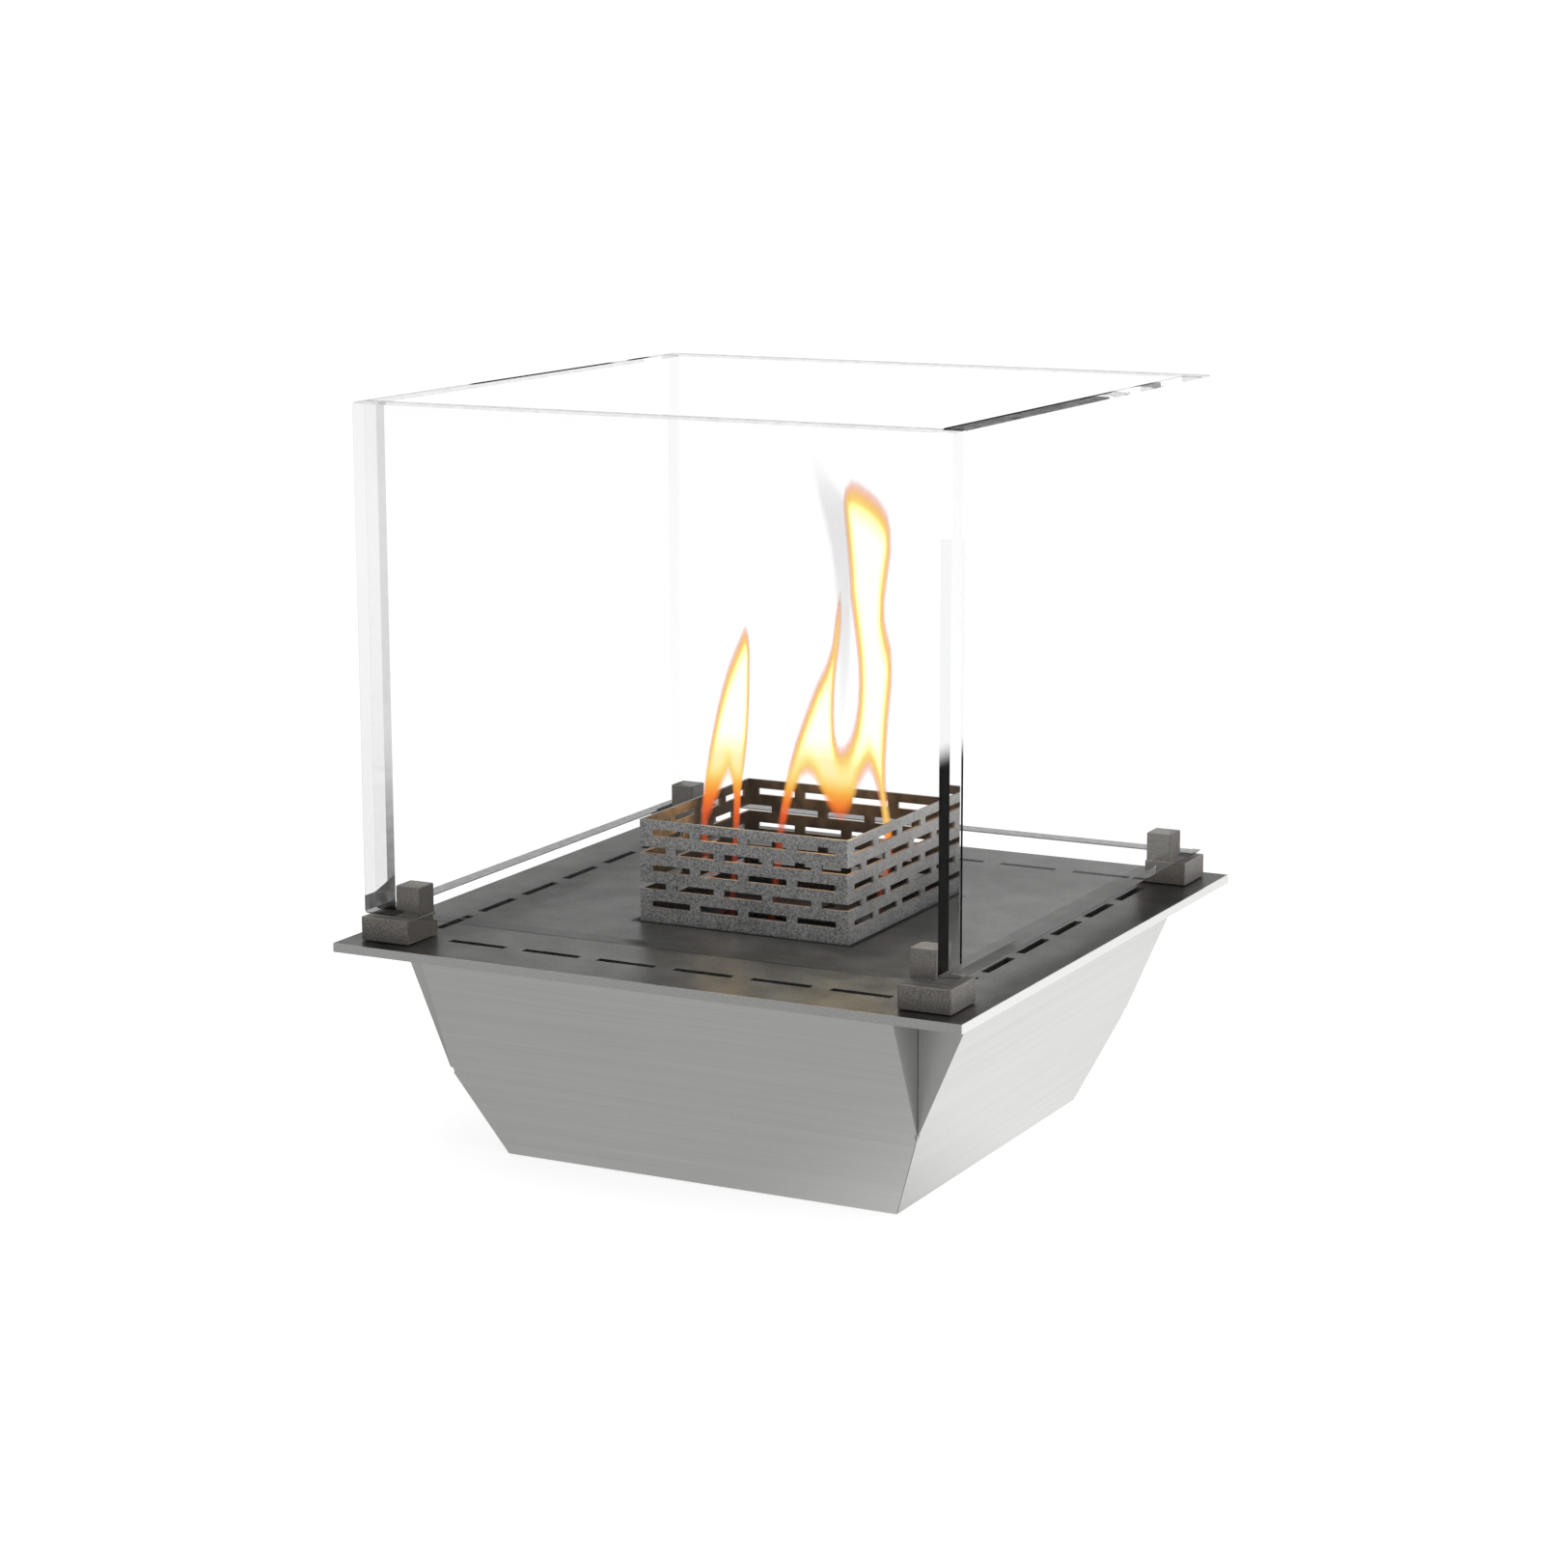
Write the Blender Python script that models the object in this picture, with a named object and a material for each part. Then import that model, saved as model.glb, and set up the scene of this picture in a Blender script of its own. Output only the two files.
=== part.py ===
"""Square ethanol fireplace for building into a worktop.

A folded, funnel-shaped steel casing hangs under a square top plate. Four corner brackets on the plate
carry an open-top glass box, and a laser-cut sleeve stands round the burner in the middle. The burner
sits in a cradle under the plate, and a damper slides under its cover to put the flame out.

The front is -Y and +Z is up. The origin is the middle of the casing's foot. All lengths are in metres.
"""

from math import cos, pi, sqrt

import bmesh
import bpy
from mathutils import Matrix, Vector

MM = 0.001

# Clearances and cutter overruns
SEAT_GAP = 0.3 * MM  # between a piece and what it rests on or is cut round
SLIDE_GAP = 0.5 * MM  # beside and above the sliding damper
CUT_OVERRUN = 1.0 * MM  # how far a cutter runs past the face that it cuts

# Sheet and plate
SHEET = 1.5 * MM
PLATE_THICKNESS = 4 * MM
PLATE_SIDE = 300 * MM
RIM_OVERHANG = 11.4 * MM  # plate edge past the top of the casing
RIM_SEAL_WIDTH = 5 * MM
RIM_SEAL_THICKNESS = 1 * MM
RIM_SEAL_GAP = 1.5 * MM  # casing to the seal round it

# Casing
CASING_HEIGHT = 98.5 * MM  # foot to the underside of the plate
CASING_TAPER = 42.7 * MM  # how much nearer the middle the foot of a panel stands than its top
NOTCH_RETURN = 25 * MM  # width of a return flange at the top of the corner notch
BEND_RELIEF_RADIUS = 1.6 * MM
LIP_WIDTH = 12 * MM  # panel's inward lip under the plate
LIP_RELIEF = 5 * MM  # gap between the lip's end and the return flange
FLOOR_FLANGE = 12 * MM  # height of the floor pan's turned-up edge

# Vents in the plate, a line of slots along each edge
VENT_LENGTH = 28 * MM
VENT_WIDTH = 4 * MM
VENT_BRIDGE = 9 * MM
VENT_LINE_INSET = 26.5 * MM  # plate edge to the middle of the slots
VENT_END_MARGIN = 9 * MM  # bracket to the first slot

# Glass box and its corner brackets
GLASS_INSET = 10 * MM  # plate edge to the outer face of the glass
GLASS_THICKNESS = 10 * MM
GLASS_HEIGHT = 222 * MM
GLASS_ARRIS = 0.8 * MM
BLOCK_SIDE = 24 * MM
BLOCK_HEIGHT = 10.6 * MM
BLOCK_LEDGE = 1 * MM  # block past the outer face of the glass
POST_SIDE = 12 * MM
POST_RISE = 12.9 * MM  # post above the block
POST_GAP = 0.5 * MM  # post to the inner face of the glass
BRACKET_ARRIS = 0.4 * MM
PAD_THICKNESS = 0.8 * MM
PAD_MARGIN = 1.5 * MM  # block edge to the pad, all round

# Screws, studs and nuts
FASTENER_RADIUS = 2 * MM
FASTENER_SIDES = 12
SCREW_HEAD_RADIUS = 3.6 * MM
SCREW_HEAD_HEIGHT = 2.4 * MM
SCREW_DEPTH = 7 * MM  # into the block
SCREW_INSET = 6.5 * MM  # block's inner and outer faces to the screws
STUD_LENGTH = 7 * MM
CASING_STUD_INSET = 8 * MM  # panel's top edge to its studs
CASING_STUD_SPREAD = 120 * MM
CRADLE_STUD_SPREAD = 70 * MM
NUT_FLATS = 7 * MM
NUT_HEIGHT = 3.2 * MM

# Burner surround, a sleeve cut in a brick pattern
SURROUND_SIDE = 103 * MM
SLOT_HEIGHT = 3 * MM
SLOT_BRIDGE = 5 * MM  # metal between two slots of a row
SLOT_CORNER_MARGIN = 6 * MM
SLOTS_IN_FULL_ROW = 4
SLOT_ROWS = 5
ROW_BRIDGE = 5.1 * MM  # metal between two rows
FIRST_ROW_RISE = 6.6 * MM  # plate to the first row
RIM_BAND = 4 * MM  # metal above the last row

# Burner
CUTOUT_GAP = 1 * MM  # surround and burner to the edge of the plate's cut-out
SURROUND_DROP = 2 * MM  # surround's foot below the plate's underside
TANK_HEIGHT = 52 * MM
FLAME_OPENING_LENGTH = 76 * MM
FLAME_OPENING_WIDTH = 22 * MM
WADDING_HEIGHT = 30 * MM
WADDING_GAP = 1.5 * MM  # wadding and mesh to the tank wall
MESH_THICKNESS = 1 * MM
MESH_HOLE = 11 * MM
MESH_BAR = 4 * MM
CRADLE_FLANGE = 18 * MM
CRADLE_STUD_INSET = 10 * MM  # cradle wall to its studs
CRADLE_LIP_HEIGHT = 12 * MM

# Damper under the burner cover
DAMPER_SIDE_LAP = 4 * MM  # damper past the ends of the flame opening
DAMPER_FRONT_LAP = 2.5 * MM
DAMPER_TAIL = 9 * MM  # damper past the back of the flame opening when closed
DAMPER_OPEN_GAP = 1.5 * MM  # damper's front edge behind the opening when open
GUIDE_LIP = 4 * MM
GUIDE_END_GAP = 2 * MM  # damper's travel to the ends of its guides
TAB_WIDTH = 4 * MM
TAB_THICKNESS = 3 * MM
TAB_RISE = 10 * MM  # above the cover
TAB_INSET = 1.5 * MM  # damper's back edge to the tab
TAB_HOLE_RADIUS = 1.2 * MM
TAB_HOLE_DROP = 3 * MM  # top of the tab to its hook hole

# Places worked out from the sizes above
PLATE_HALF = PLATE_SIDE / 2
PLATE_BOTTOM = CASING_HEIGHT
PLATE_TOP = PLATE_BOTTOM + PLATE_THICKNESS
CASING_TOP = PLATE_BOTTOM - SEAT_GAP
CASING_TOP_HALF = PLATE_HALF - RIM_OVERHANG
CASING_FOOT_HALF = CASING_TOP_HALF - CASING_TAPER
PANEL_HALF_WIDTH = CASING_TOP_HALF - NOTCH_RETURN
CASING_LEAN = CASING_TAPER / CASING_TOP
RIM_SEAL_INNER = CASING_TOP_HALF + RIM_SEAL_GAP
SHEET_ACROSS = SHEET * sqrt(1 + CASING_LEAN * CASING_LEAN)  # leaning sheet measured level
NOTCH_FOOT = (PANEL_HALF_WIDTH - CASING_FOOT_HALF) / CASING_LEAN  # height of the notch's lower end

GLASS_HALF = PLATE_HALF - GLASS_INSET
GLASS_INNER_HALF = GLASS_HALF - GLASS_THICKNESS
BLOCK_OUTER = GLASS_HALF + BLOCK_LEDGE
BLOCK_INNER = BLOCK_OUTER - BLOCK_SIDE
BLOCK_TOP = PLATE_TOP + SEAT_GAP + BLOCK_HEIGHT
PAD_BOTTOM = BLOCK_TOP + SEAT_GAP
GLASS_BOTTOM = PAD_BOTTOM + PAD_THICKNESS + SEAT_GAP
POST_OUTER = GLASS_INNER_HALF - POST_GAP

SURROUND_HALF = SURROUND_SIDE / 2
SURROUND_BOTTOM = PLATE_BOTTOM - SURROUND_DROP
SLOT_PITCH = (SURROUND_SIDE - 2 * SLOT_CORNER_MARGIN + SLOT_BRIDGE) / SLOTS_IN_FULL_ROW
SLOT_LENGTH = SLOT_PITCH - SLOT_BRIDGE
ROW_PITCH = SLOT_HEIGHT + ROW_BRIDGE
FIRST_ROW = PLATE_TOP + FIRST_ROW_RISE
SURROUND_TOP = FIRST_ROW + SLOT_ROWS * ROW_PITCH - ROW_BRIDGE + RIM_BAND

CUTOUT_HALF = SURROUND_HALF + CUTOUT_GAP
COVER_TOP = SURROUND_BOTTOM - SEAT_GAP
COVER_BOTTOM = COVER_TOP - SHEET
TANK_TOP = COVER_BOTTOM - SEAT_GAP
TANK_BOTTOM = TANK_TOP - TANK_HEIGHT
TANK_INNER_HALF = SURROUND_HALF - SHEET
WADDING_BOTTOM = TANK_BOTTOM + SHEET + SEAT_GAP
WADDING_TOP = WADDING_BOTTOM + WADDING_HEIGHT
WADDING_HALF = TANK_INNER_HALF - WADDING_GAP
CRADLE_FLOOR_TOP = TANK_BOTTOM - SEAT_GAP
CRADLE_FLANGE_TOP = PLATE_BOTTOM - SEAT_GAP
CRADLE_OUTER_HALF = CUTOUT_HALF + SHEET

DAMPER_TOP = COVER_BOTTOM - SLIDE_GAP
DAMPER_BOTTOM = DAMPER_TOP - SHEET
DAMPER_HALF_LENGTH = FLAME_OPENING_LENGTH / 2 + DAMPER_SIDE_LAP
DAMPER_TRAVEL = FLAME_OPENING_WIDTH + DAMPER_FRONT_LAP + DAMPER_OPEN_GAP
DAMPER_FRONT = -FLAME_OPENING_WIDTH / 2 - DAMPER_FRONT_LAP + DAMPER_TRAVEL
DAMPER_BACK = FLAME_OPENING_WIDTH / 2 + DAMPER_TAIL + DAMPER_TRAVEL
TAB_BACK = DAMPER_BACK - TAB_INSET
TAB_FRONT = TAB_BACK - TAB_WIDTH

# Each side and corner is a quarter turn on from the one before
SIDES = ("front", "right", "back", "left")
CORNERS = ("front_right", "back_right", "back_left", "front_left")


def clear_scene():
    for thing in list(bpy.data.objects):
        bpy.data.objects.remove(thing, do_unlink=True)


def make_material(name, colour, roughness, metallic, transmission=0.0):
    material = bpy.data.materials.new(name)
    material.use_nodes = True
    shader = material.node_tree.nodes["Principled BSDF"]
    shader.inputs["Base Color"].default_value = (*colour, 1)
    shader.inputs["Roughness"].default_value = roughness
    shader.inputs["Metallic"].default_value = metallic
    shader.inputs["Transmission Weight"].default_value = transmission
    return material


def add_box(mesh, low, high):
    """Add a closed box between two opposite corners to a bmesh."""
    size = Vector(high) - Vector(low)
    middle = (Vector(high) + Vector(low)) / 2
    matrix = Matrix.Translation(middle) @ Matrix.Diagonal((*size, 1))
    bmesh.ops.create_cube(mesh, size=1, matrix=matrix)


def add_prism(mesh, outline, along):
    """Add a closed prism: a flat outline swept along a vector."""
    base = mesh.faces.new([mesh.verts.new(point) for point in outline])
    swept = bmesh.ops.extrude_face_region(mesh, geom=[base])
    moved = [part for part in swept["geom"] if isinstance(part, bmesh.types.BMVert)]
    bmesh.ops.translate(mesh, vec=along, verts=moved)


def add_frustum(mesh, foot_half, low, high):
    """Add a square block that widens upwards with the casing's lean."""
    rings = []
    for height in (low, high):
        half = foot_half + CASING_LEAN * height
        corners = [(-half, -half), (half, -half), (half, half), (-half, half)]
        rings.append([mesh.verts.new((x, y, height)) for x, y in corners])
    mesh.faces.new(rings[0])
    mesh.faces.new(rings[1])
    for start in range(4):
        end = (start + 1) % 4
        mesh.faces.new((rings[0][start], rings[0][end], rings[1][end], rings[1][start]))


def add_square_ring(mesh, inner_half, outer_half, low, high):
    """Add a flat square ring with mitred faces."""
    rings = []
    for half, height in ((inner_half, low), (outer_half, low), (outer_half, high), (inner_half, high)):
        corners = [(-half, -half), (half, -half), (half, half), (-half, half)]
        rings.append([mesh.verts.new((x, y, height)) for x, y in corners])
    for ring, following in zip(rings, rings[1:] + rings[:1]):
        for start in range(4):
            end = (start + 1) % 4
            mesh.faces.new((ring[start], ring[end], following[end], following[start]))


def add_round(mesh, place, radius, low, high, sides=FASTENER_SIDES, turn=0.0):
    """Add a closed upright cylinder, or a hexagon with six sides."""
    matrix = Matrix.Translation((place[0], place[1], (low + high) / 2)) @ Matrix.Rotation(turn, 4, "Z")
    bmesh.ops.create_cone(
        mesh, cap_ends=True, segments=sides, radius1=radius, radius2=radius, depth=high - low, matrix=matrix
    )


def add_object(name, mesh, material):
    """Turn a bmesh into a named object, with its faces pointing out."""
    bmesh.ops.recalc_face_normals(mesh, faces=mesh.faces)
    data = bpy.data.meshes.new(name)
    mesh.to_mesh(data)
    mesh.free()
    if material:
        data.materials.append(material)
    thing = bpy.data.objects.new(name, data)
    bpy.context.collection.objects.link(thing)
    return thing


def apply_boolean(thing, name, mesh, operation):
    """Cut a bmesh from an object, or join it on, through a Boolean modifier."""
    tool = add_object(name, mesh, None)
    tool.hide_render = True
    tool.display_type = "WIRE"
    tool.parent = thing
    modifier = thing.modifiers.new(name, "BOOLEAN")
    modifier.operation = operation
    modifier.solver = "EXACT"
    modifier.object = tool
    return tool


def cut(thing, name, mesh):
    return apply_boolean(thing, name, mesh, "DIFFERENCE")


def join(thing, name, mesh):
    return apply_boolean(thing, name, mesh, "UNION")


def add_arris(thing, width):
    """Take the sharp edge off with a small flat chamfer."""
    modifier = thing.modifiers.new("arris", "BEVEL")
    modifier.width = width
    modifier.segments = 1
    modifier.limit_method = "ANGLE"


def quarter_turn(count):
    """An exact turn about Z, with no rounding in its sines."""
    cosine, sine = ((1, 0), (0, 1), (-1, 0), (0, -1))[count]
    return Matrix(((cosine, -sine, 0, 0), (sine, cosine, 0, 0), (0, 0, 1, 0), (0, 0, 0, 1)))


def quarter_turned(places):
    """Repeat a list of (x, y) places on all four sides."""
    turned = []
    for count in range(4):
        turned += [quarter_turn(count) @ Vector((x, y, 0)) for x, y in places]
    return turned


def casing_stud_places():
    line = CASING_TOP_HALF - CASING_STUD_INSET
    half_spread = CASING_STUD_SPREAD / 2
    return quarter_turned([(-half_spread, -line), (half_spread, -line)])


def cradle_stud_places():
    line = CRADLE_OUTER_HALF + CRADLE_STUD_INSET
    half_spread = CRADLE_STUD_SPREAD / 2
    return [Vector((x, y, 0)) for x in (-line, line) for y in (-half_spread, half_spread)]


def bracket_screw_places():
    """Two screws for each bracket, on the plate's diagonal."""
    inner = BLOCK_INNER + SCREW_INSET
    outer = BLOCK_OUTER - SCREW_INSET
    return quarter_turned([(inner, -inner), (outer, -outer)])


def vent_cutters():
    """A line of slots along each edge, as many as fit between the brackets."""
    room = 2 * (BLOCK_INNER - VENT_END_MARGIN)
    pitch = VENT_LENGTH + VENT_BRIDGE
    count = int((room + VENT_BRIDGE) / pitch)
    line = PLATE_HALF - VENT_LINE_INSET
    mesh = bmesh.new()
    for side in range(4):
        for number in range(count):
            middle = (number - (count - 1) / 2) * pitch
            start = len(mesh.verts)
            add_box(
                mesh,
                (middle - VENT_LENGTH / 2, -line - VENT_WIDTH / 2, PLATE_BOTTOM - CUT_OVERRUN),
                (middle + VENT_LENGTH / 2, -line + VENT_WIDTH / 2, PLATE_TOP + CUT_OVERRUN),
            )
            mesh.verts.ensure_lookup_table()
            bmesh.ops.transform(mesh, matrix=quarter_turn(side), verts=mesh.verts[start:])
    return mesh


def build_top_plate(material):
    """Flat plate with vents, the burner's cut-out, screw holes and studs welded to its underside."""
    mesh = bmesh.new()
    add_box(mesh, (-PLATE_HALF, -PLATE_HALF, PLATE_BOTTOM), (PLATE_HALF, PLATE_HALF, PLATE_TOP))
    plate = add_object("top_plate", mesh, material)

    holes = vent_cutters()
    bottom = PLATE_BOTTOM - CUT_OVERRUN
    top = PLATE_TOP + CUT_OVERRUN
    add_box(holes, (-CUTOUT_HALF, -CUTOUT_HALF, bottom), (CUTOUT_HALF, CUTOUT_HALF, top))
    for place in bracket_screw_places():
        add_round(holes, place, FASTENER_RADIUS + SEAT_GAP, bottom, top)
    cut(plate, "plate_holes", holes)

    studs = bmesh.new()
    stud_root = PLATE_BOTTOM + PLATE_THICKNESS / 2
    for place in casing_stud_places() + cradle_stud_places():
        add_round(studs, place, FASTENER_RADIUS, PLATE_BOTTOM - STUD_LENGTH, stud_root)
    join(plate, "weld_studs", studs)


def build_rim_seal(material):
    """Square ring under the plate's rim, which lies on the worktop when the part is built in."""
    top = PLATE_BOTTOM - SEAT_GAP
    mesh = bmesh.new()
    add_square_ring(
        mesh, RIM_SEAL_INNER, RIM_SEAL_INNER + RIM_SEAL_WIDTH, top - RIM_SEAL_THICKNESS, top
    )
    add_object("rim_seal", mesh, material)


def leaning_slab(low, high, half_width, inner_face, outer_face):
    """A sheet that leans out with height, between two heights and two level distances."""
    mesh = bmesh.new()
    outline = [
        (-half_width, -outer_face - CASING_LEAN * low, low),
        (-half_width, -inner_face - CASING_LEAN * low, low),
        (-half_width, -inner_face - CASING_LEAN * high, high),
        (-half_width, -outer_face - CASING_LEAN * high, high),
    ]
    add_prism(mesh, outline, (2 * half_width, 0, 0))
    return mesh


def trim(mesh, point, outward):
    """Cut off what lies past a plane, and close the cut."""
    geometry = mesh.verts[:] + mesh.edges[:] + mesh.faces[:]
    made = bmesh.ops.bisect_plane(
        mesh, geom=geometry, plane_co=point, plane_no=outward, clear_outer=True
    )
    edges = [part for part in made["geom_cut"] if isinstance(part, bmesh.types.BMEdge)]
    bmesh.ops.contextual_create(mesh, geom=edges)


def build_casing_panel(side, turn, material):
    """One folded side: a leaning sheet, two return flanges in the corner notches and a lip on top."""
    half = PANEL_HALF_WIDTH
    panel = leaning_slab(0, CASING_TOP, half, CASING_FOOT_HALF - SHEET_ACROSS, CASING_FOOT_HALF)
    for sign in (-1, 1):
        trim(panel, (0, -SEAT_GAP / 2, 0), (sign, 1, 0))
    thing = add_object("casing_panel_" + side, panel, material)

    flange_line = half + SEAT_GAP / 2
    flange_foot = (flange_line + SHEET_ACROSS / 2 - CASING_FOOT_HALF) / CASING_LEAN
    for sign, name in ((-1, "left_flange"), (1, "right_flange")):
        flange = bmesh.new()
        outline = [
            (sign * half, -flange_line, flange_foot),
            (sign * half, -CASING_TOP_HALF + SHEET_ACROSS / 2, CASING_TOP),
            (sign * half, -flange_line, CASING_TOP),
        ]
        add_prism(flange, outline, (-sign * SHEET, 0, 0))
        join(thing, name, flange)

    lip = bmesh.new()
    lip_half = half - SHEET - LIP_RELIEF
    lip_bottom = CASING_TOP - SHEET
    add_box(
        lip,
        (-lip_half, -CASING_TOP_HALF + SHEET_ACROSS / 2, lip_bottom),
        (lip_half, -CASING_TOP_HALF + LIP_WIDTH, CASING_TOP),
    )
    join(thing, "lip", lip)

    holes = bmesh.new()
    for x in (-CASING_STUD_SPREAD / 2, CASING_STUD_SPREAD / 2):
        place = (x, -CASING_TOP_HALF + CASING_STUD_INSET)
        add_round(
            holes, place, FASTENER_RADIUS + SEAT_GAP, lip_bottom - CUT_OVERRUN, CASING_TOP + CUT_OVERRUN
        )
    for sign in (-1, 1):
        matrix = Matrix.Translation((sign * half, -half, NOTCH_FOOT)) @ Matrix.Rotation(pi / 2, 4, "X")
        bmesh.ops.create_cone(
            holes,
            cap_ends=True,
            segments=FASTENER_SIDES,
            radius1=BEND_RELIEF_RADIUS,
            radius2=BEND_RELIEF_RADIUS,
            depth=2 * (SHEET_ACROSS + SHEET + CUT_OVERRUN),
            matrix=matrix,
        )
    cut(thing, "stud_and_relief_holes", holes)
    thing.matrix_world = quarter_turn(turn)


def build_casing_floor(material):
    """Folded pan inside the foot of the casing, its edges turned up along the panels."""
    outer = CASING_FOOT_HALF - SHEET_ACROSS - SEAT_GAP
    mesh = bmesh.new()
    add_frustum(mesh, outer, 0, FLOOR_FLANGE)
    floor = add_object("casing_floor", mesh, material)
    hollow = bmesh.new()
    add_frustum(hollow, outer - SHEET_ACROSS, SHEET, FLOOR_FLANGE + CUT_OVERRUN)
    cut(floor, "pan_hollow", hollow)


def build_glass_panes(material):
    """Front and back panes run the full width, and the side panes stand between them."""
    side_half = GLASS_INNER_HALF - SEAT_GAP
    for turn, side in enumerate(SIDES):
        half = GLASS_HALF if side in ("front", "back") else side_half
        mesh = bmesh.new()
        add_box(
            mesh,
            (-half, -GLASS_HALF, GLASS_BOTTOM),
            (half, -GLASS_INNER_HALF, GLASS_BOTTOM + GLASS_HEIGHT),
        )
        pane = add_object("glass_pane_" + side, mesh, material)
        pane.matrix_world = quarter_turn(turn)
        add_arris(pane, GLASS_ARRIS)


def build_brackets(material):
    """Corner blocks that carry the glass, each with a post inside the glass corner."""
    for turn, corner in enumerate(CORNERS):
        mesh = bmesh.new()
        bottom = PLATE_TOP + SEAT_GAP
        add_box(mesh, (BLOCK_INNER, -BLOCK_OUTER, bottom), (BLOCK_OUTER, -BLOCK_INNER, BLOCK_TOP))
        bracket = add_object("corner_bracket_" + corner, mesh, material)
        add_arris(bracket, BRACKET_ARRIS)

        post = bmesh.new()
        inner = POST_OUTER - POST_SIDE
        add_box(
            post,
            (inner, -POST_OUTER, bottom + BLOCK_HEIGHT / 2),
            (POST_OUTER, -inner, BLOCK_TOP + POST_RISE),
        )
        add_arris(join(bracket, "post", post), BRACKET_ARRIS)

        holes = bmesh.new()
        for place in bracket_screw_places()[:2]:
            add_round(
                holes,
                place,
                FASTENER_RADIUS + SEAT_GAP,
                bottom - CUT_OVERRUN,
                bottom + SCREW_DEPTH + SEAT_GAP,
            )
        cut(bracket, "screw_holes", holes)
        bracket.matrix_world = quarter_turn(turn)


def build_bracket_screws(material):
    """Two screws up through the plate into each bracket."""
    head_top = PLATE_BOTTOM - SEAT_GAP
    for turn, corner in enumerate(CORNERS):
        for which, place in zip(("inner", "outer"), bracket_screw_places()):
            head = bmesh.new()
            add_round(head, place, SCREW_HEAD_RADIUS, head_top - SCREW_HEAD_HEIGHT, head_top)
            screw = add_object("bracket_screw_" + corner + "_" + which, head, material)
            shank = bmesh.new()
            shank_top = PLATE_TOP + SEAT_GAP + SCREW_DEPTH
            add_round(shank, place, FASTENER_RADIUS, head_top - SCREW_HEAD_HEIGHT / 2, shank_top)
            join(screw, "shank", shank)
            screw.matrix_world = quarter_turn(turn)


def build_glass_pads(material):
    """A thin L-shaped pad on each block, under the glass corner."""
    inner = BLOCK_INNER + PAD_MARGIN
    outer = GLASS_HALF - PAD_MARGIN
    elbow = GLASS_INNER_HALF + SEAT_GAP
    outline = [(inner, elbow), (elbow, elbow), (elbow, inner), (outer, inner), (outer, outer), (inner, outer)]
    for turn, corner in enumerate(CORNERS):
        mesh = bmesh.new()
        add_prism(mesh, [(x, -y, PAD_BOTTOM) for x, y in outline], (0, 0, PAD_THICKNESS))
        pad = add_object("glass_pad_" + corner, mesh, material)
        pad.matrix_world = quarter_turn(turn)


def build_nut(name, place, top, material):
    """Hexagonal nut blank with its bore, flats towards the front and back."""
    mesh = bmesh.new()
    radius = NUT_FLATS / 2 / cos(pi / 6)
    add_round(mesh, place, radius, top - NUT_HEIGHT, top, sides=6, turn=pi / 6)
    nut = add_object(name, mesh, material)
    bore = bmesh.new()
    bore_radius = FASTENER_RADIUS + SEAT_GAP
    add_round(bore, place, bore_radius, top - NUT_HEIGHT - CUT_OVERRUN, top + CUT_OVERRUN)
    cut(nut, name + "_bore", bore)
    return nut


def build_casing_nuts(material):
    places = casing_stud_places()
    for turn, side in enumerate(SIDES):
        for hand, place in zip(("left", "right"), places):
            name = "casing_nut_" + side + "_" + hand
            nut = build_nut(name, place, CASING_TOP - SHEET - SEAT_GAP, material)
            nut.matrix_world = quarter_turn(turn)


def build_cradle_nuts(material):
    names = ("left_front", "left_back", "right_front", "right_back")
    for name, place in zip(names, cradle_stud_places()):
        build_nut("cradle_nut_" + name, place, CRADLE_FLANGE_TOP - SHEET - SEAT_GAP, material)


def build_burner_cradle(material):
    """Folded hanger: a floor, two walls with flanges under the plate, and low lips front and back."""
    floor_bottom = CRADLE_FLOOR_TOP - SHEET
    outer = CRADLE_OUTER_HALF
    flange_reach = outer + CRADLE_FLANGE
    outline = [
        (-flange_reach, CRADLE_FLANGE_TOP),
        (-flange_reach, CRADLE_FLANGE_TOP - SHEET),
        (-outer, CRADLE_FLANGE_TOP - SHEET),
        (-outer, floor_bottom),
        (outer, floor_bottom),
        (outer, CRADLE_FLANGE_TOP - SHEET),
        (flange_reach, CRADLE_FLANGE_TOP - SHEET),
        (flange_reach, CRADLE_FLANGE_TOP),
        (CUTOUT_HALF, CRADLE_FLANGE_TOP),
        (CUTOUT_HALF, CRADLE_FLOOR_TOP),
        (-CUTOUT_HALF, CRADLE_FLOOR_TOP),
        (-CUTOUT_HALF, CRADLE_FLANGE_TOP),
    ]
    mesh = bmesh.new()
    add_prism(mesh, [(x, -outer, z) for x, z in outline], (0, 2 * outer, 0))
    cradle = add_object("burner_cradle", mesh, material)

    lips = bmesh.new()
    lip_top = CRADLE_FLOOR_TOP + CRADLE_LIP_HEIGHT
    for sign in (-1, 1):
        edges = sorted((sign * outer, sign * CUTOUT_HALF))
        add_box(
            lips,
            (-CUTOUT_HALF - SHEET / 2, edges[0], floor_bottom + SHEET / 2),
            (CUTOUT_HALF + SHEET / 2, edges[1], lip_top),
        )
    join(cradle, "end_lips", lips)

    holes = bmesh.new()
    for place in cradle_stud_places():
        add_round(
            holes,
            place,
            FASTENER_RADIUS + SEAT_GAP,
            CRADLE_FLANGE_TOP - SHEET - CUT_OVERRUN,
            CRADLE_FLANGE_TOP + CUT_OVERRUN,
        )
    cut(cradle, "stud_holes", holes)


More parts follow.
